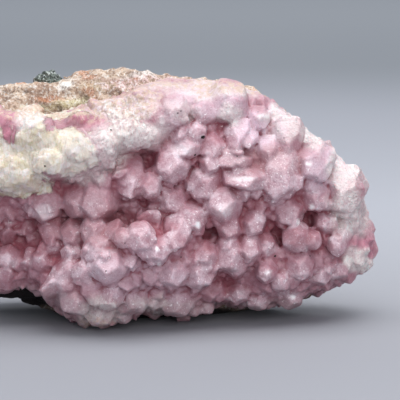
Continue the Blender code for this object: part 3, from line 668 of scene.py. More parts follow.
@dataclass(frozen=True)
class PinkCalciteFinish:
    """Milky pink calcite: pale tips, part frosting, part painted light; deeper pink below; painted
    wine-red shade in the hollows.
    """

    body: Colour = shade(180, 139, 149)
    # pale tips, partly frosting and partly painted light
    pale: Colour = shade(209, 186, 194)
    deep: Colour = shade(158, 107, 119)
    # wine red painted as shade in the hollows and creases
    wine_shade: Colour = shade(144, 78, 89)
    rose: Colour = shade(184, 116, 134)
    lilac: Colour = shade(212, 186, 198)
    white: Colour = shade(232, 223, 220)
    cream: Colour = shade(220, 208, 190)
    yellow: Colour = shade(211, 198, 168)
    tan: Colour = shade(200, 176, 156)
    dusk: Colour = shade(172, 148, 150)
    smoke: Colour = shade(190, 176, 162)
    # near-white colour of the painted glint highlights
    glint_highlight: Colour = shade(250, 244, 246)

    def build(self) -> Material:
        """Build the material.

        Returns:
            The material.
        """
        paint = Paint("pink_calcite")
        mask, noise = paint.mask, paint.noise
        cloud = noise(5 * MM, 3.0)
        grain = noise(1.1 * MM, 3.0, 0.6)
        sugar = noise(0.35 * MM, 2.0, 0.6)
        streak = noise(1.0 * MM, 3.0, 0.6, (1.0, 1.0, 0.3))
        rime = noise(2.2 * MM, 3.0, 0.6).step(0.4, 0.62)
        frost = noise(0.4 * MM, 1.0)
        chip = paint.wire("ShaderNodeSeparateColor", {"Color": paint.cells(1.5 * MM, "Color")})
        # painted wine-red shade under ledges and in hollows, and painted glint highlights
        wine_shade, glint_highlight = mask("wine_shade"), mask("glint_highlight")
        # pale tips, partly frosting and partly painted light where crystals stand out
        tip = mask("tip") * (1.0 - 0.55 * wine_shade)
        # painted shade, strongest in the hollows
        hollow = mask("hollow") * (0.7 + 0.6 * wine_shade) * 1.2 + wine_shade * (1.0 - tip) * 0.6
        # painted shade in the hollows and the creases between crystals
        depth = (hollow + mask("vein_and_crease_shade") * 0.55 - (sugar - 0.5) * 0.6).held()
        pink = paint.coats(
            self.deep,
            (0.3 + (cloud.step(0.3, 0.75) * 0.7 + (grain - 0.5) * 2.2), self.body),
            # pale tips: partly frosting, partly painted light
            (tip * (0.2 + 0.5 * grain + 0.5 * rime), self.pale),
            # painted wine-red shade in the hollows and creases
            (depth, self.wine_shade),
            ((mask("lilac") * (0.6 + cloud)).held() * (1.0 - depth), self.lilac),
            (mask("dusk") * (0.4 + 0.6 * grain), self.dusk),
            (mask("rose") * (0.45 + grain), self.rose),
        )
        cream = paint.coats(
            self.cream,
            (noise(4 * MM, 2.0).step(0.42, 0.6), self.yellow),
            (chip.step(0.45, 0.95) * 0.6 + (streak - 0.5) * 1.6 + 0.1, self.white),
            (chip.step(0.35, 0.0) * 0.5, self.smoke),
        )
        broken = (mask("cream") - mask("rose") + (streak - 0.5) * 0.7).step(0.3, 0.6)
        white = (mask("white") * (0.3 + 0.6 * grain + 0.5 * chip)).held()
        colour = paint.coats(
            pink,
            (broken, cream),
            (white, self.white),
            (mask("tan") * noise(1.3 * MM, 5.0, 0.7).step(0.44, 0.56), self.tan),
            # painted sparkle: near-white frosting specks, partly real frosting, and small painted glints,
            # more on the tips
            (frost.step(0.58, 0.78) * (0.06 + 0.2 * tip + 0.3 * broken), self.glint_highlight),
            (noise(0.5 * MM, 0.0).step(0.72, 0.78) * (0.1 + 0.6 * tip), self.glint_highlight),
            (frost.step(0.46, 0.3) * 0.35 * (1.0 - broken), self.deep),
            # painted glint highlights
            (glint_highlight, self.glint_highlight),
        )
        relief = paint.relief(
            (grain, 0.5 * MM, 0.5),
            ((chip + streak) * (broken + white).held(), 0.8 * MM, 0.9),
            (paint.cells(0.5 * MM, "Distance"), 0.12 * MM, 0.5),
            (frost, 0.1 * MM, 0.5),
        )
        rough = (0.26 + 0.35 * noise(1.6 * MM, 2.0) - 0.3 * glint_highlight).held()
        constants = {
            "IOR": 1.55,
            "Subsurface Weight": 0.45,
            "Subsurface Radius": (1.0, 0.55, 0.55),
            "Subsurface Scale": 1.8 * MM,
        }
        return paint.finish(constants, {"Base Color": colour, "Roughness": rough, "Normal": relief})


@dataclass(frozen=True)
class HostRockFinish:
    """Fine-grained brown rock with orange, olive and cream-white patches."""

    brown: Colour = shade(178, 152, 134)
    tan: Colour = shade(206, 183, 162)
    dark: Colour = shade(112, 88, 76)
    orange: Colour = shade(206, 142, 106)
    olive: Colour = shade(206, 198, 160)
    white: Colour = shade(236, 232, 226)
    pink: Colour = shade(214, 176, 180)
    shadow: Colour = shade(64, 52, 50)
    night: Colour = shade(30, 24, 24)

    def build(self) -> Material:
        """Build the material.

        Returns:
            The material.
        """
        paint = Paint("brown_host_rock")
        mask, noise = paint.mask, paint.noise
        grain = noise(0.9 * MM, 4.0, 0.65)
        speck = noise(0.6 * MM, 2.0, 0.6)
        warm = noise(6 * MM, 3.0, 0.6).step(0.56, 0.66) * 0.5
        colour = paint.coats(
            self.brown,
            (noise(9 * MM, 4.0, 0.6).step(0.38, 0.62), self.tan),
            (warm + mask("orange") * (0.5 + 0.6 * grain), self.orange),
            (mask("olive") * (0.5 + 0.7 * grain), self.olive),
            (mask("pink") * grain.step(0.4, 0.58), self.pink),
            (mask("white") * (0.5 + grain), self.white),
            (grain.step(0.53, 0.62) * 0.75, self.white),
            (grain.step(0.47, 0.38) * 0.55, self.dark),
            (mask("vein_and_crease_shade"), self.white),
            # painted shade in the rock's creases
            (mask("crease_shade") * 0.55, self.shadow),
            (speck.step(0.46, 0.32) * 0.65, self.dark),
            (speck.step(0.56, 0.7) * 0.5, self.white),
            (mask("shadow"), self.night),
        )
        relief = paint.relief((grain, 0.9 * MM, 0.8), (speck, 0.3 * MM, 0.7))
        rough = (0.62 + 0.3 * grain).held()
        constants = {"IOR": 1.5, "Specular IOR Level": 0.35}
        return paint.finish(constants, {"Base Color": colour, "Roughness": rough, "Normal": relief})


@dataclass(frozen=True)
class OreFinish:
    """Dark green-grey ore with a dull metallic sheen, and pale patches of painted sheen."""

    name: str = "green_grey_ore"
    dark: Colour = shade(72, 78, 74)
    # pale colour of the painted sheen
    light: Colour = shade(196, 202, 198)
    green: Colour = shade(112, 122, 114)

    def build(self) -> Material:
        """Build the material.

        Returns:
            The material.
        """
        paint = Paint(self.name)
        grain = paint.noise(0.6 * MM, 3.0, 0.6)
        # painted sheen: pale patches laid into the dark colour
        painted_sheen = paint.noise(0.9 * MM, 2.0).step(0.52, 0.66) * 0.8
        colour = paint.coats(self.dark, (grain.step(0.42, 0.62), self.green), (painted_sheen, self.light))
        varying = {
            "Base Color": colour,
            "Roughness": (0.28 + 0.3 * grain).held(),
            "Normal": paint.relief((grain, 0.25 * MM, 0.6)),
        }
        return paint.finish({"Metallic": 0.45}, varying)


# dark, painted sheen and green colours of the black grains
BLACK_SHADES = (shade(26, 18, 16), shade(70, 52, 44), shade(40, 30, 26))


class Faces(NamedTuple):
    """Some like faces of a crystal that is one unit across.

    The lean is between a face's direction and the crystal's axis, and the turn about that axis,
    both in degrees. The distance is from the crystal's middle.
    """

    count: int
    lean: float
    turn: float
    distance: float


class Habit(Enum):
    """Shapes of the crystals: how hard their edges are, how flat they are, and their faces."""

    BLUNT = (20.0, 1.0, (Faces(3, 46, 0, 0.33), Faces(3, 80, 60, 0.43), Faces(3, 86, 0, 0.50)))
    STEEP = (20.0, 0.9, (Faces(3, 60, 0, 0.36), Faces(3, 78, 60, 0.41), Faces(3, 86, 0, 0.48)))
    PLATE = (18.0, 0.5, (Faces(3, 42, 0, 0.33), Faces(3, 80, 60, 0.46), Faces(3, 86, 0, 0.50)))
    KNOB = (10.0, 1.0, (Faces(3, 38, 0, 0.36), Faces(3, 84, 60, 0.46), Faces(3, 86, 0, 0.48)))
    BLOCK = (18.0, 0.9, (Faces(3, 46, 0, 0.36), Faces(3, 134, 60, 0.36)))

    def reach(self, direction: Vector) -> float:
        """Measure from the crystal's middle to its surface.

        Args:
            direction: Unit vector away from its middle.

        Returns:
            The distance.
        """
        hardness, _, sets = self.value
        total = max(0.0, -direction.z / ROOT_LENGTH) ** hardness
        for faces in sets:
            lean = math.radians(faces.lean)
            for index in range(faces.count):
                turn = math.radians(faces.turn) + math.tau * index / faces.count
                across = direction.x * math.cos(turn) + direction.y * math.sin(turn)
                facing = across * math.sin(lean) + direction.z * math.cos(lean)
                total += max(0.0, facing / faces.distance) ** hardness
        return total ** (-1.0 / hardness)

    def mesh(self, detail: int) -> Mesh:
        """Make a crystal one unit across, with its tip at the origin and pointing up.

        Args:
            detail: How often the ball that it is shaped from is divided.

        Returns:
            A closed mesh.
        """
        thickness = self.value[1]
        shape = bmesh.new()
        bmesh.ops.create_icosphere(shape, subdivisions=detail, radius=1.0)
        for vert in shape.verts:
            place = vert.co * self.reach(vert.co)
            vert.co = Vector((place.x, place.y * thickness, place.z))
        top = max(vert.co.z for vert in shape.verts)
        bmesh.ops.translate(shape, verts=shape.verts, vec=UP * -top)
        return closed(shape, self.name.lower())


@dataclass(frozen=True)
class Scatter:
    """Crystals that are scattered over a surface."""

    spacing: float
    least: float
    greatest: float
    habits: tuple[Habit, ...]
    seed: int
    stand: tuple[float, float] = (0.25, 0.55)
    follow: float = 1.0
    lean: Triple = (0.0, -0.35, -0.25)
    sway: float = 0.5
    turn: float = math.tau
    density: float = 4.0e6
    detail: int = 3

    def tree(self, shapes: Collection, material: Material) -> NodeTree:
        """Build the geometry nodes.

        Args:
            shapes: Holds one crystal of each habit.
            material: Finish of the crystals.

        Returns:
            The node group.
        """
        tree = bpy.data.node_groups.new("crystal_scatter", "GeometryNodeTree")
        kinds = {int: "Int", float: "Float", tuple: "Vector"}
        sockets = {name: kinds[type(value)] for name, value in self.sizes().items()}
        for name, kind in {"Geometry": "Geometry", **sockets}.items():
            tree.interface.new_socket(name, in_out="INPUT", socket_type=f"NodeSocket{kind}")
        tree.interface.new_socket("Geometry", in_out="OUTPUT", socket_type="NodeSocketGeometry")

        board = Board(tree)
        vector, wire = board.vector, board.wire
        entry = board.node("NodeGroupInput")
        given = {socket.name: Wire(board, socket) for socket in entry.outputs if socket.name}
        seed = given["Seed"]
        inputs = {
            "Mesh": given["Geometry"],
            "Distance Min": given["Spacing"],
            "Density Max": given["Density"],
            "Density Factor": wire(
                "GeometryNodeInputNamedAttribute", {"Name": "room"}, data_type="FLOAT"
            ),
            "Seed": seed,
        }
        spread = board.node("GeometryNodeDistributePointsOnFaces", inputs, distribute_method="POISSON")
        points, normal = (Wire(board, spread.outputs[name]) for name in ("Points", "Normal"))
        any_way = board.random("FLOAT_VECTOR", (-1.0, -1.0, -1.0), (1.0, 1.0, 1.0), seed)
        way = vector("ADD", {0: vector("SCALE", {0: normal, "Scale": given["Follow"]}), 1: given["Lean"]})
        sway = vector("SCALE", {0: any_way, "Scale": given["Sway"]})
        way = vector("NORMALIZE", {0: vector("ADD", {0: way, 1: sway})})
        upright = wire("FunctionNodeAlignRotationToVector", {"Vector": way}, axis="Z")
        turn = board.random("FLOAT", 0.0, given["Turn"], seed)
        spin = wire("FunctionNodeAxisAngleToRotation", {"Axis": (0, 0, 1), "Angle": turn})
        size = board.random("FLOAT", given["Least Size"], given["Greatest Size"], seed)
        stand = board.random("FLOAT", given["Least Stand"], given["Greatest Stand"], seed)
        lift = vector("SCALE", {0: way, "Scale": size * stand})
        shown = {"Collection": shapes, "Separate Children": True, "Reset Children": True}
        turns = {"Rotation": upright, "Rotate By": spin}
        inputs = {
            "Points": wire("GeometryNodeSetPosition", {"Geometry": points, "Offset": lift}),
            "Instance": wire("GeometryNodeCollectionInfo", shown),
            "Pick Instance": True,
            "Instance Index": board.random("INT", 0, len(self.habits) - 1, seed),
            "Rotation": wire("FunctionNodeRotateRotation", turns, rotation_space="LOCAL"),
            "Scale": size,
        }
        placed = wire("GeometryNodeInstanceOnPoints", inputs)
        real = wire("GeometryNodeRealizeInstances", {"Geometry": placed})
        ready = wire("GeometryNodeSetMaterial", {"Geometry": real, "Material": material})
        board.node("NodeGroupOutput", {"Geometry": ready})
        return tree

    def sizes(self) -> dict[str, Any]:
        """Name the inputs of the geometry nodes, with their values."""
        return {
            "Spacing": self.spacing, "Density": self.density, "Seed": self.seed,
            "Least Size": self.least, "Greatest Size": self.greatest,
            "Least Stand": self.stand[0], "Greatest Stand": self.stand[1],
            "Follow": self.follow, "Lean": self.lean, "Sway": self.sway, "Turn": self.turn,
        }

    def grow(self, ground: Object, material: Material) -> Mesh:
        """Scatter the crystals over a surface, more where its attribute "room" is higher.

        Args:
            ground: The object that they grow on.
            material: Finish of the crystals.

        Returns:
            The crystals as one mesh.
        """
        shapes = bpy.data.collections.new("crystal_shapes")
        for number, habit in enumerate(self.habits):
            shapes.objects.link(bpy.data.objects.new(f"shape_{number}", habit.mesh(self.detail)))
        tree = self.tree(shapes, material)
        modifier = ground.modifiers.new("Scatter", "NODES")
        modifier.node_group = tree
        values = self.sizes()
        for socket in tree.interface.items_tree:
            if socket.in_out == "INPUT" and socket.name in values:
                modifier[socket.identifier] = values[socket.name]
        mesh = evaluated_mesh(ground)
        for thing in list(shapes.objects):
            bpy.data.objects.remove(thing, do_unlink=True)
        bpy.data.collections.remove(shapes)
        bpy.data.node_groups.remove(tree)
        return mesh


class Crystal(NamedTuple):
    """A crystal that the photograph shows.

    Its root and tip are pixels. Its width is in millimetres, as is stand_out, how far its tip is in
    front of the bed. Its turn, in degrees, is about its own axis.
    """

    root: tuple[float, float]
    tip: tuple[float, float]
    width: float
    stand_out: float
    habit: Habit = Habit.BLUNT
    turn: float = 0.0


class Growth(NamedTuple):
    """Where a large crystal stands: the place of its tip, its direction and its width."""

    tip: Vector
    axis: Vector
    width: float


BLUNT, STEEP, PLATE, KNOB, BLOCK = Habit

CRYSTALS = (
    # left third, from the ledge down
    Crystal((46, 200), (43, 226), 8.4, 5.5, BLUNT, 60),
    Crystal((79, 197), (77, 221), 7.0, 6.0, BLUNT, 50),
    Crystal((97, 201), (93, 223), 9.4, 6.5, BLUNT, 75),
    Crystal((128, 180), (131, 204), 7.6, 5.0, STEEP, 20),
    Crystal((50, 231), (53, 251), 5.6, 4.5, STEEP, 30),
    Crystal((26, 268), (26, 258), 3.4, 3.5, STEEP, 0),
    Crystal((40, 268), (42, 253), 5.0, 4.5, BLUNT, 0),
    Crystal((5, 287), (8, 257), 5.0, 4.5, STEEP, 10),
    Crystal((6, 238), (10, 225), 5.0, 4.0, STEEP, 40),
    Crystal((24, 222), (24, 240), 4.6, 3.6, STEEP, 25),
    Crystal((72, 236), (73, 244), 5.6, 4.0, BLUNT, 15),
    Crystal((73, 256), (70, 252), 5.4, 4.0, BLUNT, 70),
    Crystal((94, 232), (95, 240), 6.0, 5.5, BLUNT, 35),
    Crystal((111, 232), (110, 240), 5.4, 4.5, PLATE, 35),
    Crystal((100, 250), (92, 261), 7.0, 6.5, BLUNT, 10),
    Crystal((122, 238), (123, 244), 4.2, 5.5, KNOB, 0),
    Crystal((140, 238), (142, 250), 6.0, 6.5, BLUNT, 40),
    Crystal((127, 256), (133, 272), 5.6, 5.0, STEEP, 0),
    Crystal((108, 268), (106, 275), 7.8, 7.0, BLUNT, 80),
    Crystal((70, 280), (68, 263), 9.6, 4.0, BLUNT, 30),
    Crystal((84, 276), (86, 268), 6.0, 4.6, BLUNT, 65),
    Crystal((54, 288), (50, 280), 7.6, 3.5, PLATE, 30),
    Crystal((76, 296), (74, 316), 7.6, 4.0, KNOB, 10),
    Crystal((100, 312), (99, 325), 6.4, 4.0, KNOB, 30),
    Crystal((108, 298), (110, 304), 6.6, 5.0, BLUNT, 20),
    Crystal((130, 300), (132, 309), 8.0, 5.0, BLUNT, 50),
    Crystal((121, 312), (124, 320), 5.0, 4.5, KNOB, 0),
    Crystal((151, 298), (152, 309), 4.8, 5.0, BLUNT, 0),
    # the middle, from the top rim down
    Crystal((172, 166), (168, 177), 8.0, 6.5, BLUNT, 95),
    Crystal((183, 146), (184, 157), 9.4, 5.0, PLATE, 0),
    Crystal((180, 132), (178, 140), 5.6, 4.0, PLATE, 40),
    Crystal((197, 132), (197, 138), 4.4, 4.0, KNOB, 0),
    Crystal((172, 116), (170, 124), 6.8, 2.6, BLUNT, 20),
    Crystal((228, 108), (230, 118), 9.6, 4.5, KNOB, 15),
    Crystal((204, 112), (202, 120), 6.6, 3.0, KNOB, 50),
    Crystal((238, 134), (236, 155), 6.2, 5.5, STEEP, 10),
    Crystal((250, 136), (251, 149), 4.0, 5.0, STEEP, 0),
    Crystal((258, 118), (259, 130), 5.0, 4.5, BLUNT, 30),
    Crystal((213, 150), (214, 158), 6.6, 3.6, BLUNT, 0),
    Crystal((211, 162), (209, 173), 5.0, 4.6, BLUNT, 60),
    Crystal((230, 160), (232, 168), 6.8, 5.0, PLATE, 10),
    Crystal((244, 177), (246, 190), 10.6, 7.0, PLATE, 0),
    Crystal((205, 184), (206, 200), 8.4, 5.5, BLUNT, 25),
    Crystal((172, 199), (166, 210), 7.0, 5.5, BLUNT, 15),
    Crystal((150, 186), (148, 197), 5.0, 4.6, BLUNT, 60),
    Crystal((224, 206), (222, 213), 8.6, 7.5, BLUNT, 100),
    Crystal((189, 220), (195, 227), 7.0, 6.5, BLUNT, 30),
    Crystal((176, 238), (174, 252), 7.2, 6.0, STEEP, 40),
    Crystal((157, 252), (155, 258), 5.6, 6.5, BLUNT, 20),
    Crystal((230, 226), (228, 240), 5.6, 5.0, BLUNT, 70),
    Crystal((254, 222), (252, 236), 5.6, 5.0, BLUNT, 50),
    Crystal((260, 196), (262, 222), 3.8, 4.0, STEEP, 0),
    Crystal((230, 256), (232, 270), 8.4, 6.0, BLUNT, 20),
    Crystal((250, 246), (250, 262), 5.4, 6.0, BLUNT, 85),
    Crystal((205, 254), (206, 264), 5.0, 5.0, BLUNT, 0),
    Crystal((198, 270), (199, 288), 8.2, 6.5, BLUNT, 40),
    Crystal((172, 274), (170, 284), 6.4, 5.5, BLUNT, 10),
    Crystal((176, 300), (177, 313), 8.0, 4.5, KNOB, 20),
    Crystal((193, 306), (194, 317), 3.4, 3.0, KNOB, 0),
    Crystal((206, 303), (207, 315), 3.8, 3.0, KNOB, 30),
    Crystal((238, 292), (240, 300), 5.6, 4.5, BLUNT, 55),
    Crystal((258, 298), (258, 307), 6.4, 4.5, BLUNT, 15),
    # right third, from the top rim down
    Crystal((288, 138), (286, 166), 7.6, 5.5, STEEP, 15),
    Crystal((268, 152), (271, 167), 6.0, 3.6, BLUNT, 45),
    Crystal((281, 176), (272, 204), 9.8, 6.5, BLUNT, 70),
    Crystal((315, 165), (304, 176), 8.2, 6.0, BLUNT, 20),
    Crystal((313, 190), (318, 215), 6.6, 6.0, BLUNT, 55),
    Crystal((344, 196), (338, 212), 9.6, 4.5, BLUNT, 10),
    Crystal((286, 210), (297, 228), 7.8, 5.0, BLUNT, 30),
    Crystal((297, 238), (293, 246), 6.4, 5.5, KNOB, 0),
    Crystal((313, 240), (313, 245), 4.2, 6.0, KNOB, 15),
    Crystal((322, 222), (325, 229), 4.0, 3.5, BLUNT, 0),
    Crystal((340, 238), (337, 257), 6.2, 5.0, STEEP, 25),
    Crystal((258, 240), (276, 250), 4.6, 4.5, BLUNT, 0),
    Crystal((266, 270), (266, 277), 3.8, 5.5, KNOB, 0),
    Crystal((300, 262), (300, 279), 6.6, 5.5, BLUNT, 35),
    Crystal((280, 280), (281, 288), 5.0, 4.6, KNOB, 20),
    Crystal((290, 296), (292, 305), 6.8, 4.5, BLUNT, 60),
    Crystal((320, 272), (320, 284), 5.8, 4.5, BLUNT, 15),
    Crystal((340, 268), (338, 277), 5.4, 4.0, BLUNT, 40),
    # past the photograph's left edge
    Crystal((-14, 214), (-16, 234), 7.4, 5.0, BLUNT, 20),
    Crystal((-38, 218), (-40, 236), 7.0, 5.0, BLUNT, 60),
    Crystal((-26, 244), (-28, 262), 8.2, 6.0, BLUNT, 10),
    Crystal((-10, 262), (-12, 275), 6.4, 5.0, STEEP, 35),
    Crystal((-54, 224), (-58, 240), 6.2, 4.5, STEEP, 0),
)

CRUST_PATCHES: dict[str, tuple[Patch, ...]] = {
    "cream": (
        Patch("cream ledge", (18, 150), (44, 38)),
        Patch("cream block", (62, 156), (36, 27), 0.8),
        Patch("lower cream", (16, 184), (34, 16), 0.9),
        Patch("past the edge", (-46, 156), (40, 46)),
        Patch("upper edge", (44, 112), (60, 8), 0.9),
        Patch("pale step", (118, 122), (34, 24), 0.45),
    ),
    "white": (
        Patch("white block", (30, 121), (20, 8)),
        Patch("broken white", (126, 136), (44, 22), 0.9),
        Patch("foot of the ledge", (78, 172), (30, 14), 0.6),
        Patch("above the broken white", (124, 106), (40, 14), 0.7),
        Patch("rim, top", (200, 88), (70, 11), 0.6),
        Patch("lower boss", (98, 315), (20, 9), 0.6),
        Patch("lower edge", (152, 304), (26, 8), 0.4),
        Patch("rim, upper right", (288, 116), (28, 12), 0.8),
        Patch("rim, shoulder", (314, 138), (18, 14), 0.9),
        Patch("rim, right", (342, 166), (18, 26), 0.9),
        Patch("right-hand edge", (362, 262), (16, 14)),
        Patch("right-hand dome", (350, 205), (22, 34), 0.8),
        Patch("above the ledge's edge", (96, 158), (40, 14), 0.6),
        Patch("pale core", (230, 113), (12, 8), 0.7),
        Patch("upper middle", (184, 112), (20, 12), 0.5),
        Patch("upper right crystals", (285, 132), (18, 13), 0.6),
        Patch("left end", (-60, 120), (30, 16), 0.7),
    ),
    "rose": (
        Patch("left rim", (6, 126), (17, 22), 0.65),
        Patch("deep rose spot", (2, 134), (6, 7)),
        Patch("broken pink", (88, 118), (17, 9), 0.8),
        Patch("pit", (150, 112), (6, 10), 0.7),
        Patch("right-hand break", (362, 246), (14, 12), 0.7),
    ),
    "lilac": (
        Patch("lilac shoulder", (262, 130), (26, 24)),
        Patch("lilac top", (210, 100), (40, 16), 0.5),
        Patch("right-hand shoulder", (322, 170), (24, 22), 0.7),
        Patch("lower middle", (140, 276), (60, 30), 0.35),
    ),
    "dusk": (
        Patch("upper right crystals", (262, 162), (46, 18), 0.4),
        Patch("left crystals", (92, 222), (46, 34), 0.25),
        Patch("lower edge", (200, 312), (170, 12), 0.7),
        Patch("lower left", (40, 300), (40, 14), 0.6),
    ),
    # painted wine-red shade under ledges, in hollows and between crystals
    "wine_shade": (
        Patch("under the ledge", (136, 162), (24, 8)),
        Patch("under the cream ledge", (64, 186), (18, 8)),
        Patch("left of the middle", (70, 217), (12, 13)),
        Patch("middle", (122, 216), (30, 11)),
        Patch("left hollow", (34, 236), (34, 22)),
        Patch("left of the middle, low", (88, 231), (46, 20), 0.9),
        Patch("middle, low", (160, 226), (14, 12), 0.7),
        Patch("upper right crystals", (256, 168), (46, 18), 0.45),
        Patch("lower left", (55, 261), (8, 8)),
        Patch("right of the middle", (210, 232), (9, 17)),
        Patch("right-hand hollow", (274, 235), (11, 11)),
        Patch("upper right hollow", (307, 215), (10, 11)),
        Patch("under the right-hand dome", (341, 226), (8, 6)),
        Patch("below the middle", (229, 282), (13, 9)),
        Patch("upper middle", (192, 166), (9, 7)),
        Patch("right, low", (304, 238), (24, 13)),
        Patch("middle, right", (236, 224), (13, 14), 0.6),
        Patch("upper right", (262, 205), (9, 9), 0.8),
        Patch("lower middle", (150, 300), (14, 7), 0.6),
    ),
    # painted glint highlights on crystal faces
    "glint_highlight": (
        Patch("lens", (243, 179), (13, 3), 0.5),
        Patch("upper right", (309, 164), (4, 2)),
        Patch("right", (312, 207), (3, 3)),
        Patch("right of the dome", (298, 222), (2, 3)),
        Patch("middle", (198, 225), (3, 4)),
        Patch("two, upper", (157, 249), (2, 2.5)),
        Patch("two, lower", (159, 264), (2, 2)),
        Patch("low right", (268, 273), (3, 2)),
        Patch("lower right edge", (293, 297), (3, 2)),
        Patch("left face", (44, 212), (9, 8), 0.35),
        Patch("middle face", (223, 210), (9, 7), 0.35),
        Patch("upper face", (182, 150), (12, 6), 0.3),
    ),
    "tan": (
        Patch("against the host rock", (45, 111), (70, 12), 0.9),
        Patch("upper step", (122, 99), (44, 16), 0.85),
        Patch("ridge", (200, 83), (90, 10), 0.85),
        Patch("top of the lower boss", (98, 322), (16, 8), 0.6),
    ),
}

ROCK_PATCHES: dict[str, tuple[Patch, ...]] = {
    "orange": (
        Patch("left", (14, 82), (14, 5)),
        Patch("middle", (50, 97), (14, 4)),
        Patch("small spot", (133, 78), (5, 3)),
        Patch("ridge", (86, 74), (12, 3), 0.8),
    ),
    "olive": (
        Patch("middle", (74, 103), (22, 8)),
        Patch("left of the ledge", (48, 110), (18, 5), 0.7),
        Patch("right", (100, 84), (20, 6), 0.5),
    ),
    "white": (
        Patch("beside the ore", (66, 85), (7, 4)),
        Patch("ridge", (138, 75), (20, 3), 0.6),
    ),
    "pink": (
        Patch("right part", (150, 82), (60, 8), 0.8),
    ),
    "shadow": (
        Patch("under the left side", (16, 298), (60, 13)),
        Patch("under the left end", (-50, 290), (40, 14), 0.8),
        Patch("under the crust", (150, 316), (130, 12)),
        Patch("under the right side", (300, 306), (60, 10), 0.8),
    ),
}


@dataclass
class Skin:
    """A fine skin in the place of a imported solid."""

    name: str
    node: str
    voxel: float
    triangles: int

    def build(self, material: Material) -> Object:
        """Build and dress the skin.

        Args:
            material: Its finish.

        Returns:
            The piece.
        """
        piece = new_piece(self.name, self.shape(material))
        voxel_union(piece, self.voxel)
        self.weather(Surface(piece.data))
        thin_out(piece, self.triangles)
        self.mark(Surface(piece.data))
        piece.data.materials.clear()
        piece.data.materials.append(material)
        piece.data.shade_smooth()
        return piece

    def shape(self, material: Material) -> Mesh:
        """Make the closed shells that the skin is melted from."""
        return node_copy(self.node)

    def weather(self, surface: Surface) -> None:
        """Work on the melted surface, here only to smooth it a little."""
        surface.points = surface.averaged(surface.points, 1)
        surface.store()

    def mark(self, surface: Surface) -> None:
        """Keep the masks that the finish reads, here none."""


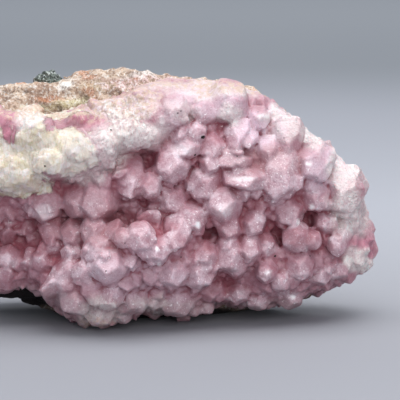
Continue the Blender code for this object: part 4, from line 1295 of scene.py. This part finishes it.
@dataclass
class CalciteCrust(Skin):
    """The pink crust: massive calcite, its large crystals and the fine druse between them."""

    name: str = "pink_calcite_crust"
    node: str = "calcite_crust"
    voxel: float = 0.32 * MM
    triangles: int = 192000
    noise: Noise = Noise(11)
    coarse_voxel: float = 0.6 * MM
    root_depth: float = 2.6
    seat: float = 0.3  # where a crystal is seated, as a share of the way from its tip to its root
    satellite_seed: int = 41
    satellite_width: float = 5.5
    satellite_sizes: tuple[float, float] = (0.4, 0.6)
    satellite_sides: tuple[float, float] = (0.32, 0.5)
    satellite_drops: tuple[float, float] = (0.15, 0.5)
    satellite_sway: float = 0.3
    crystal_detail: int = 4
    crystal_scale: float = 1.1
    crystal_rise: float = 0.10
    bed_rounds: int = 30
    rim_rounds: int = 12
    bed_sink: float = 0.7 * MM
    wave_height: float = 0.14
    chip_height: float = 0.06
    ledge_edge: tuple[float, float] = (-2.0, 3.0)
    tip_depth: tuple[float, float] = (0.5, 0.0)
    tip_width: tuple[float, float] = (0.6, 0.3)
    near_rounds: int = 45
    wide_rounds: int = 140
    seam_rounds: int = 8
    warp_length: float = 6 * MM
    mask_warp: float = 14.0
    grown: list[Growth] = field(default_factory=list)
    druse: tuple[Scatter, ...] = (
        Scatter(3.0 * MM, 3.2 * MM, 5.4 * MM, (BLUNT, PLATE, BLUNT, STEEP), 5, (0.05, 0.4)),
        Scatter(1.9 * MM, 1.8 * MM, 3.2 * MM, (BLUNT, STEEP, BLUNT), 9, (0.1, 0.4)),
    )
    blocks: tuple[Scatter, ...] = (
        Scatter(3.2 * MM, 3.6 * MM, 5.2 * MM, (BLOCK,), 4, (0.0, 0.12), 0.9, (0.1, -0.5, 0.45), 0.3, 0.6),
        Scatter(1.7 * MM, 1.6 * MM, 3.0 * MM, (BLOCK,), 6, (0.0, 0.2), 0.9, (0.1, -0.5, 0.45), 0.4, 0.9),
    )
    ledge_columns: tuple[float, ...] = (
        -80, -30, 0, 30, 46, 60, 85, 108, 116, 160, 190, 240, 260, 280, 300, 320, 340, 352, 400
    )
    ledge_rows: tuple[float, ...] = (
        200, 200, 195, 193, 186, 178, 171, 170, 154, 146, 112, 96, 104, 119, 134, 153, 176, 204, 250
    )

    def shape(self, material: Material) -> Mesh:
        """Grow the crystals on the bed and the ledge.

        Args:
            material: The crust's finish.

        Returns:
            The bed and the crystals as one mesh.
        """
        solid = node_copy(self.node)
        parts = [self.large_crystals(solid)]
        ground = new_piece("crust_ground", solid)
        voxel_union(ground, self.coarse_voxel)
        self.sink_bed(Surface(ground.data))
        parts += self.cover(ground, material)
        parts.append(ground.data.copy())
        bpy.data.objects.remove(ground, do_unlink=True)
        return joined(parts)

    def large_crystals(self, solid: Mesh) -> Mesh:
        """Place the crystals that the photograph shows, with a smaller one beside each wide one.

        Args:
            solid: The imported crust, whose crystals give their depths.

        Returns:
            The crystals as one mesh.
        """
        points = [vert.co.copy() for vert in solid.vertices]
        tree = BVHTree.FromPolygons(points, [tuple(face.vertices) for face in solid.polygons])
        rng = random.Random(self.satellite_seed)
        shape = bmesh.new()
        models = {habit: habit.mesh(self.crystal_detail) for habit in Habit}
        for crystal in CRYSTALS:
            root, tip = crystal.root, crystal.tip
            seen = tuple(end + (start - end) * self.seat for start, end in zip(root, tip))
            place = tree.ray_cast(Vector(PHOTO.eye), PHOTO.ray(seen))[0]
            if place is None:
                continue
            across = (tip[0] - root[0]) * PHOTO.pixel
            rise = (root[1] - tip[1]) * PHOTO.pixel
            axis = Vector((across, -(crystal.stand_out + self.root_depth) * MM, rise)).normalized()
            width = crystal.width * MM * self.crystal_scale
            top = place + axis * self.crystal_rise * width
            model, turn = models[crystal.habit], math.radians(crystal.turn)
            self.add_crystal(shape, model, Growth(top, axis, width), turn)
            if crystal.width <= self.satellite_width:
                continue
            size = width * rng.uniform(*self.satellite_sizes)
            side = axis.cross(Vector([rng.gauss(0, 1) for _ in range(3)])).normalized()
            spot = top + side * width * rng.uniform(*self.satellite_sides)
            spot -= axis * width * rng.uniform(*self.satellite_drops)
            if self.ledge(PHOTO.pixels(np.array([spot])))[0] <= 0.5:
                sway = (axis + self.satellite_sway * side).normalized()
                self.add_crystal(shape, model, Growth(spot, sway, size), turn)
        for model in models.values():
            bpy.data.meshes.remove(model)
        return closed(shape, "large_crystals")

    def add_crystal(self, shape: Shape, model: Mesh, growth: Growth, turn: float) -> None:
        """Add one crystal to a shape, and remember it.

        Args:
            shape: The shape to add to.
            model: The crystal, one unit across.
            growth: Where it stands.
            turn: Its turn about its own axis, in radians.
        """
        aim = UP.rotation_difference(growth.axis).to_matrix().to_4x4()
        matrix = Matrix.Translation(growth.tip) @ aim @ Matrix.Rotation(turn, 4, "Z")
        first = len(shape.verts)
        shape.from_mesh(model)
        shape.verts.ensure_lookup_table()
        matrix = matrix @ Matrix.Scale(growth.width, 4)
        bmesh.ops.transform(shape, matrix=matrix, verts=shape.verts[first:])
        self.grown.append(growth)

    def sink_bed(self, surface: Surface) -> None:
        """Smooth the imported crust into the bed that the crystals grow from, apart from its ledge.

        Args:
            surface: The crust as small squares.
        """
        pixels = PHOTO.pixels(surface.points)
        front = ramp(surface.averaged(surface.normals[:, 1], 20), 0.3, -0.1)
        share = (front * (1.0 - self.ledge(pixels)))[:, None]
        smooth = surface.averaged(surface.points, self.bed_rounds)
        sunk = smooth - surface.averaged(surface.normals, 10) * self.bed_sink
        surface.points = surface.points * (1.0 - share) + sunk * share
        rim = (front * self.ledge(pixels) * ramp(pixels[:, 0], 215.0, 240.0))[:, None]
        smooth = surface.averaged(surface.points, self.rim_rounds)
        surface.points = surface.points * (1.0 - rim) + smooth * rim
        surface.store()

    def cover(self, ground: Object, material: Material) -> list[Mesh]:
        """Grow the druse on the bed and the cleavage blocks on the ledge.

        Args:
            ground: The bed and the ledge.
            material: Finish of the crystals.

        Returns:
            One mesh for each size of crystal.
        """
        surface = Surface(ground.data)
        front = ramp(surface.normals[:, 1], 0.35, -0.1)
        ledge = self.ledge(PHOTO.pixels(surface.points))
        surface.note("room", front * (1.0 - ledge))
        meshes = [scatter.grow(ground, material) for scatter in self.druse]
        facing = ramp(surface.normals[:, 1], 0.75, 0.3)
        surface.note("room", facing * np.maximum(ledge, 1.0 - front))
        return meshes + [scatter.grow(ground, material) for scatter in self.blocks]

    def ledge(self, pixels: Array) -> Array:
        """Find the broken ledge of massive calcite."""
        edge = np.interp(pixels[:, 0], self.ledge_columns, self.ledge_rows)
        return ramp(edge - pixels[:, 1], *self.ledge_edge)

    def weather(self, surface: Surface) -> None:
        """Round the crystals' edges a little, and give their faces their uneven growth.

        Args:
            surface: The crust's surface.
        """
        surface.points = 0.5 * (surface.points + surface.averaged(surface.points, 1))
        surface.store()
        wave = self.noise.layered(surface.points, 1.5 * MM, 3)
        chip = self.noise.chips(surface.points, 0.9 * MM, 8) - 0.5
        surface.push(wave * self.wave_height * MM + chip * self.chip_height * MM)

    def tips(self, points: Array) -> Array:
        """Find the tips of the large crystals.

        Args:
            points: Where to look.

        Returns:
            1 at a tip, 0 well below it or away from it.
        """
        share = np.zeros(len(points))
        for growth in self.grown:
            axis = np.array(growth.axis)
            away = (points - np.array(growth.tip)) / growth.width
            below = -(away @ axis)
            across = np.linalg.norm(away + below[:, None] * axis, axis=1)
            share = np.maximum(share, ramp(below, *self.tip_depth) * ramp(across, *self.tip_width))
        return share

    def mark(self, surface: Surface) -> None:
        """Keep the masks that the finish reads.

        Args:
            surface: The crust's surface.
        """
        points = surface.points
        near, wide = surface.relief(self.near_rounds), surface.relief(self.wide_rounds)
        warp = self.noise.warp(points, self.warp_length)
        # pale tips, partly frosting and partly painted light, on the large crystals and what stands out
        surface.note("tip", np.maximum(self.tips(points), 0.7 * ramp(near, 0.3 * MM, 1.8 * MM)))
        # painted shade mask: darker in the hollows
        surface.note("hollow", ramp(wide + 0.5 * near, 0.1 * MM, -2.2 * MM))
        # painted shade mask in the small creases between crystals
        surface.note("vein_and_crease_shade", ramp(surface.relief(self.seam_rounds), -0.03 * MM, -0.3 * MM))
        for name, patches in CRUST_PATCHES.items():
            shift = 0.0 if name == "glint_highlight" else warp * self.mask_warp
            surface.note(name, patch_mask(PHOTO.pixels(points) + shift, patches))


@dataclass
class HostRock(Skin):
    """The brown rock that the crust grew on."""

    name: str = "brown_host_rock"
    node: str = "host_rock"
    voxel: float = 0.55 * MM
    triangles: int = 150000
    noise: Noise = Noise(23)
    block_height: float = 1.3
    chip_height: float = 0.55
    wave_height: float = 0.9
    seam_cell: float = 14 * MM
    crack_rounds: int = 12
    warp_length: float = 5 * MM
    mask_warp: float = 9.0

    def weather(self, surface: Surface) -> None:
        """Break up the rock's surface, less where it stands.

        Args:
            surface: The rock's surface.
        """
        surface.points = surface.averaged(surface.points, 3)
        surface.store()
        steady = ramp(surface.points[:, 2], 0.3 * MM, 2.5 * MM)
        block = self.noise.chips(surface.points * np.array((1.0, 1.0, 1.6)), 5.5 * MM, 3) - 0.6
        chip = self.noise.chips(surface.points, 1.7 * MM, 4) - 0.5
        wave = self.noise.layered(surface.points, 4.0 * MM, 4)
        move = block * self.block_height * MM + chip * self.chip_height * MM
        surface.push(move + wave * self.wave_height * MM, steady)

    def mark(self, surface: Surface) -> None:
        """Keep the masks that the finish reads.

        Args:
            surface: The rock's surface.
        """
        points = surface.points
        warp = self.noise.warp(points, self.warp_length)
        near, second, _ = self.noise.cells(points + warp.sum(axis=1)[:, None] * 2 * MM, self.seam_cell)
        vein_and_crease_shade = ramp(second - near, 0.035, 0.0) * ramp(self.noise.smooth(points, 16 * MM), 0.05, 0.35)
        front = ramp(surface.averaged(surface.normals[:, 1], 10), 0.5, 0.0)
        # white veins in the rock; the crust's mask of the same name is painted crease shade
        surface.note("vein_and_crease_shade", vein_and_crease_shade)
        # painted shade mask in the rock's creases
        surface.note("crease_shade", ramp(surface.relief(self.crack_rounds), -0.05 * MM, -0.4 * MM))
        for name, patches in ROCK_PATCHES.items():
            mask = patch_mask(PHOTO.pixels(points) + warp * self.mask_warp, patches)
            surface.note(name, front * mask if name == "shadow" else mask)


@dataclass
class OreCluster(Skin):
    """The small lump of dark ore blades on the ridge."""

    name: str = "green_grey_ore_cluster"
    node: str = "dark_ore_cluster"
    voxel: float = 0.12 * MM
    triangles: int = 40000
    blades: Scatter = Scatter(
        0.45 * MM, 0.8 * MM, 1.5 * MM, (PLATE,), 3, (0.2, 0.7), 1.0, (0.0, -0.1, 0.4), 0.4, math.tau, 2.0e7
    )

    def shape(self, material: Material) -> Mesh:
        """Grow the blades on the lump.

        Args:
            material: The ore's finish.

        Returns:
            The lump and its blades as one mesh.
        """
        ground = new_piece("ore_ground", node_copy(self.node))
        voxel_union(ground, 2 * self.voxel)
        Surface(ground.data).note("room", np.ones(len(ground.data.vertices)))
        blades = self.blades.grow(ground, material)
        bpy.data.objects.remove(ground, do_unlink=True)
        return joined([node_copy(self.node), blades])


class Grain(NamedTuple):
    """A black speck on the crystals: its pixel and its size in millimetres."""

    pixel: tuple[float, float]
    size: float


@dataclass
class BlackGrains:
    """The small black grains that sit on the crystals."""

    grains: tuple[Grain, ...] = (
        Grain((203, 137), 1.3),
        Grain((178, 113), 0.6),
        Grain((181, 111), 0.5),
        Grain((195, 155), 0.8),
        Grain((237, 156), 0.5),
        Grain((275, 256), 0.7),
        Grain((310, 256), 0.6),
        Grain((181, 257), 0.5),
        Grain((125, 243), 0.5),
        Grain((106, 271), 0.5),
        Grain((111, 130), 0.7),
        Grain((45, 166), 0.6),
        Grain((258, 112), 0.4),
        Grain((278, 131), 0.35),
        Grain((284, 138), 0.35),
        Grain((288, 148), 0.35),
        Grain((276, 146), 0.3),
    )
    noise: Noise = Noise(31)
    flatness: tuple[float, float] = (0.7, 0.5)
    roughness: float = 0.6

    def build(self, crust: Object, material: Material) -> Object:
        """Seat the grains on the crust.

        Args:
            crust: The crust that carries them.
            material: Their finish.

        Returns:
            The piece.
        """
        graph = bpy.context.evaluated_depsgraph_get()
        tree = BVHTree.FromObject(crust, graph)
        shape = bmesh.new()
        for number, grain in enumerate(self.grains):
            place, normal, _, _ = tree.ray_cast(Vector(PHOTO.eye), PHOTO.ray(grain.pixel))
            if place is not None:
                self.add_grain(shape, place, normal, grain.size * MM, number)
        mesh = closed(shape, "black_grains")
        mesh.materials.append(material)
        return new_piece("black_grains", mesh)

    def add_grain(self, shape: Shape, place: Vector, normal: Vector, size: float, number: int) -> None:
        """Add one angular grain, half sunk in what carries it.

        Args:
            shape: The mesh to add to.
            place: Where it sits.
            normal: Outward direction there.
            size: How wide it is.
            number: Chooses its form.
        """
        turn = normal.to_track_quat("Z", "Y").to_matrix().to_4x4()
        depth, height = (share * size for share in self.flatness)
        matrix = Matrix.Translation(place) @ turn @ Matrix.Diagonal((size, depth, height, 1.0))
        made = bmesh.ops.create_icosphere(shape, subdivisions=1, radius=0.5, matrix=matrix)
        for index, vert in enumerate(made["verts"]):
            cell = np.array([[number, index, 0]], np.int64)
            vert.co += (vert.co - place) * float(self.noise.draw(cell, 2)[0] - 0.5) * self.roughness


class Lamp(NamedTuple):
    """A soft light: its place, what it points at, the size of its face and its power in watts."""

    name: str
    place: Triple
    aim: Triple
    size: tuple[float, float]
    power: float


@dataclass(frozen=True)
class Studio:
    """The pale floor, which fills the picture, the light and the camera."""

    floor_level: float = -0.1 * MM
    floor_front: float = -1.8
    floor_back: float = 2.6
    half_width: float = 2.2
    near: Colour = shade(146, 147, 153)
    middle: Colour = shade(172, 174, 181)
    far: Colour = shade(149, 153, 158)
    sky: tuple[float, float, float, float] = (0.82, 0.88, 1.0, 1.0)
    sky_strength: float = 0.5
    sensor: float = 36.0
    lamps: tuple[Lamp, ...] = (
        Lamp("top_light", (0.05, -0.10, 0.62), (0.0, 0.0, 0.03), (0.7, 0.6), 4.8),
        Lamp("front_light", (0.2, -0.85, 0.34), (0.0, 0.0, 0.03), (0.8, 0.5), 3.6),
        Lamp("left_light", (-0.6, -0.3, 0.5), (0.0, 0.0, 0.03), (0.4, 0.4), 0.6),
        Lamp("far_light", (0.1, 1.5, 0.9), (0.1, 1.3, 0.0), (1.6, 0.6), 6.0),
    )

    def build(self) -> None:
        """Build everything around the specimen."""
        self.add_floor()
        for lamp in self.lamps:
            self.add_light(lamp)
        self.add_world()
        self.add_camera()
        bpy.context.scene.view_settings.view_transform = "Standard"

    def add_floor(self) -> None:
        """Lay the floor, with painted light: its colour is paler where it is far from the light."""
        sides, ends = (-self.half_width, self.half_width), (self.floor_front, self.floor_back)
        corners = [(side, end, self.floor_level) for side in sides for end in ends]
        mesh = bpy.data.meshes.new("floor")
        mesh.from_pydata(corners, [], [(0, 2, 3, 1)])
        floor = new_piece("floor", mesh)
        paint = Paint("pale_paper")
        depth = paint.wire("ShaderNodeSeparateXYZ", {0: paint.place}, "Y")
        shades = ((depth.step(-0.05, 0.24), self.middle), (depth.step(0.5, 0.85), self.far))
        colour = paint.coats(self.near, *shades)
        mesh.materials.append(paint.finish({"Roughness": 0.9}, {"Base Color": colour}))

    def add_light(self, lamp: Lamp) -> None:
        """Hang a light.

        Args:
            lamp: What it is like.
        """
        light = bpy.data.lights.new(lamp.name, "AREA")
        light.shape = "RECTANGLE"
        light.size, light.size_y = lamp.size
        light.energy = lamp.power
        aim = Vector(lamp.aim) - Vector(lamp.place)
        self.hang(lamp.name, light, lamp.place, aim)

    def hang(self, name: str, data: Any, place: Iterable[float], aim: Vector) -> Object:
        """Put a light or a camera in its place.

        Args:
            name: Its name.
            data: The light or the camera.
            place: Where it is.
            aim: Direction in which it points.

        Returns:
            The object.
        """
        hung = bpy.data.objects.new(name, data)
        hung.location = place
        hung.rotation_euler = aim.to_track_quat("-Z", "Y").to_euler()
        bpy.context.scene.collection.objects.link(hung)
        return hung

    def add_world(self) -> None:
        """Surround the scene with dim even light."""
        world = bpy.data.worlds.new("studio")
        world.use_nodes = True
        background = world.node_tree.nodes["Background"]
        background.inputs["Color"].default_value = self.sky
        background.inputs["Strength"].default_value = self.sky_strength
        bpy.context.scene.world = world

    def add_camera(self) -> None:
        """Set the camera at the photograph's viewing angle."""
        data = bpy.data.cameras.new("camera")
        data.sensor_width = self.sensor
        data.lens = self.sensor * PHOTO.distance / (PHOTO.width * PHOTO.pixel)
        bpy.context.scene.camera = self.hang("camera", data, PHOTO.eye, Vector(PHOTO.forward))


def report(piece: Object) -> None:
    """Log a piece and how many triangles it has.

    Args:
        piece: The piece.
    """
    triangles = len(piece.data.loops) - 2 * len(piece.data.polygons)
    LOG.info("%s: %d triangles", piece.name, triangles)


def main() -> None:
    """Build and dress the specimen and its studio."""
    logging.basicConfig(level=logging.INFO, format="%(relativeCreated)d ms %(message)s")
    calcite = PinkCalciteFinish().build()
    rock = HostRockFinish().build()
    ore = OreFinish().build()

    crust = CalciteCrust().build(calcite)
    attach(crust, "root")
    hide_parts("calcite_crust")
    report(crust)

    host = HostRock().build(rock)
    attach(host, "root")
    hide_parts("host_rock")
    report(host)

    cluster = OreCluster().build(ore)
    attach(cluster, "root")
    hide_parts("dark_ore_cluster")
    report(cluster)

    grains = BlackGrains().build(crust, OreFinish("black_grains", *BLACK_SHADES).build())
    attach(grains, "root")
    report(grains)

    Studio().build()


if __name__ == "__main__":
    main()
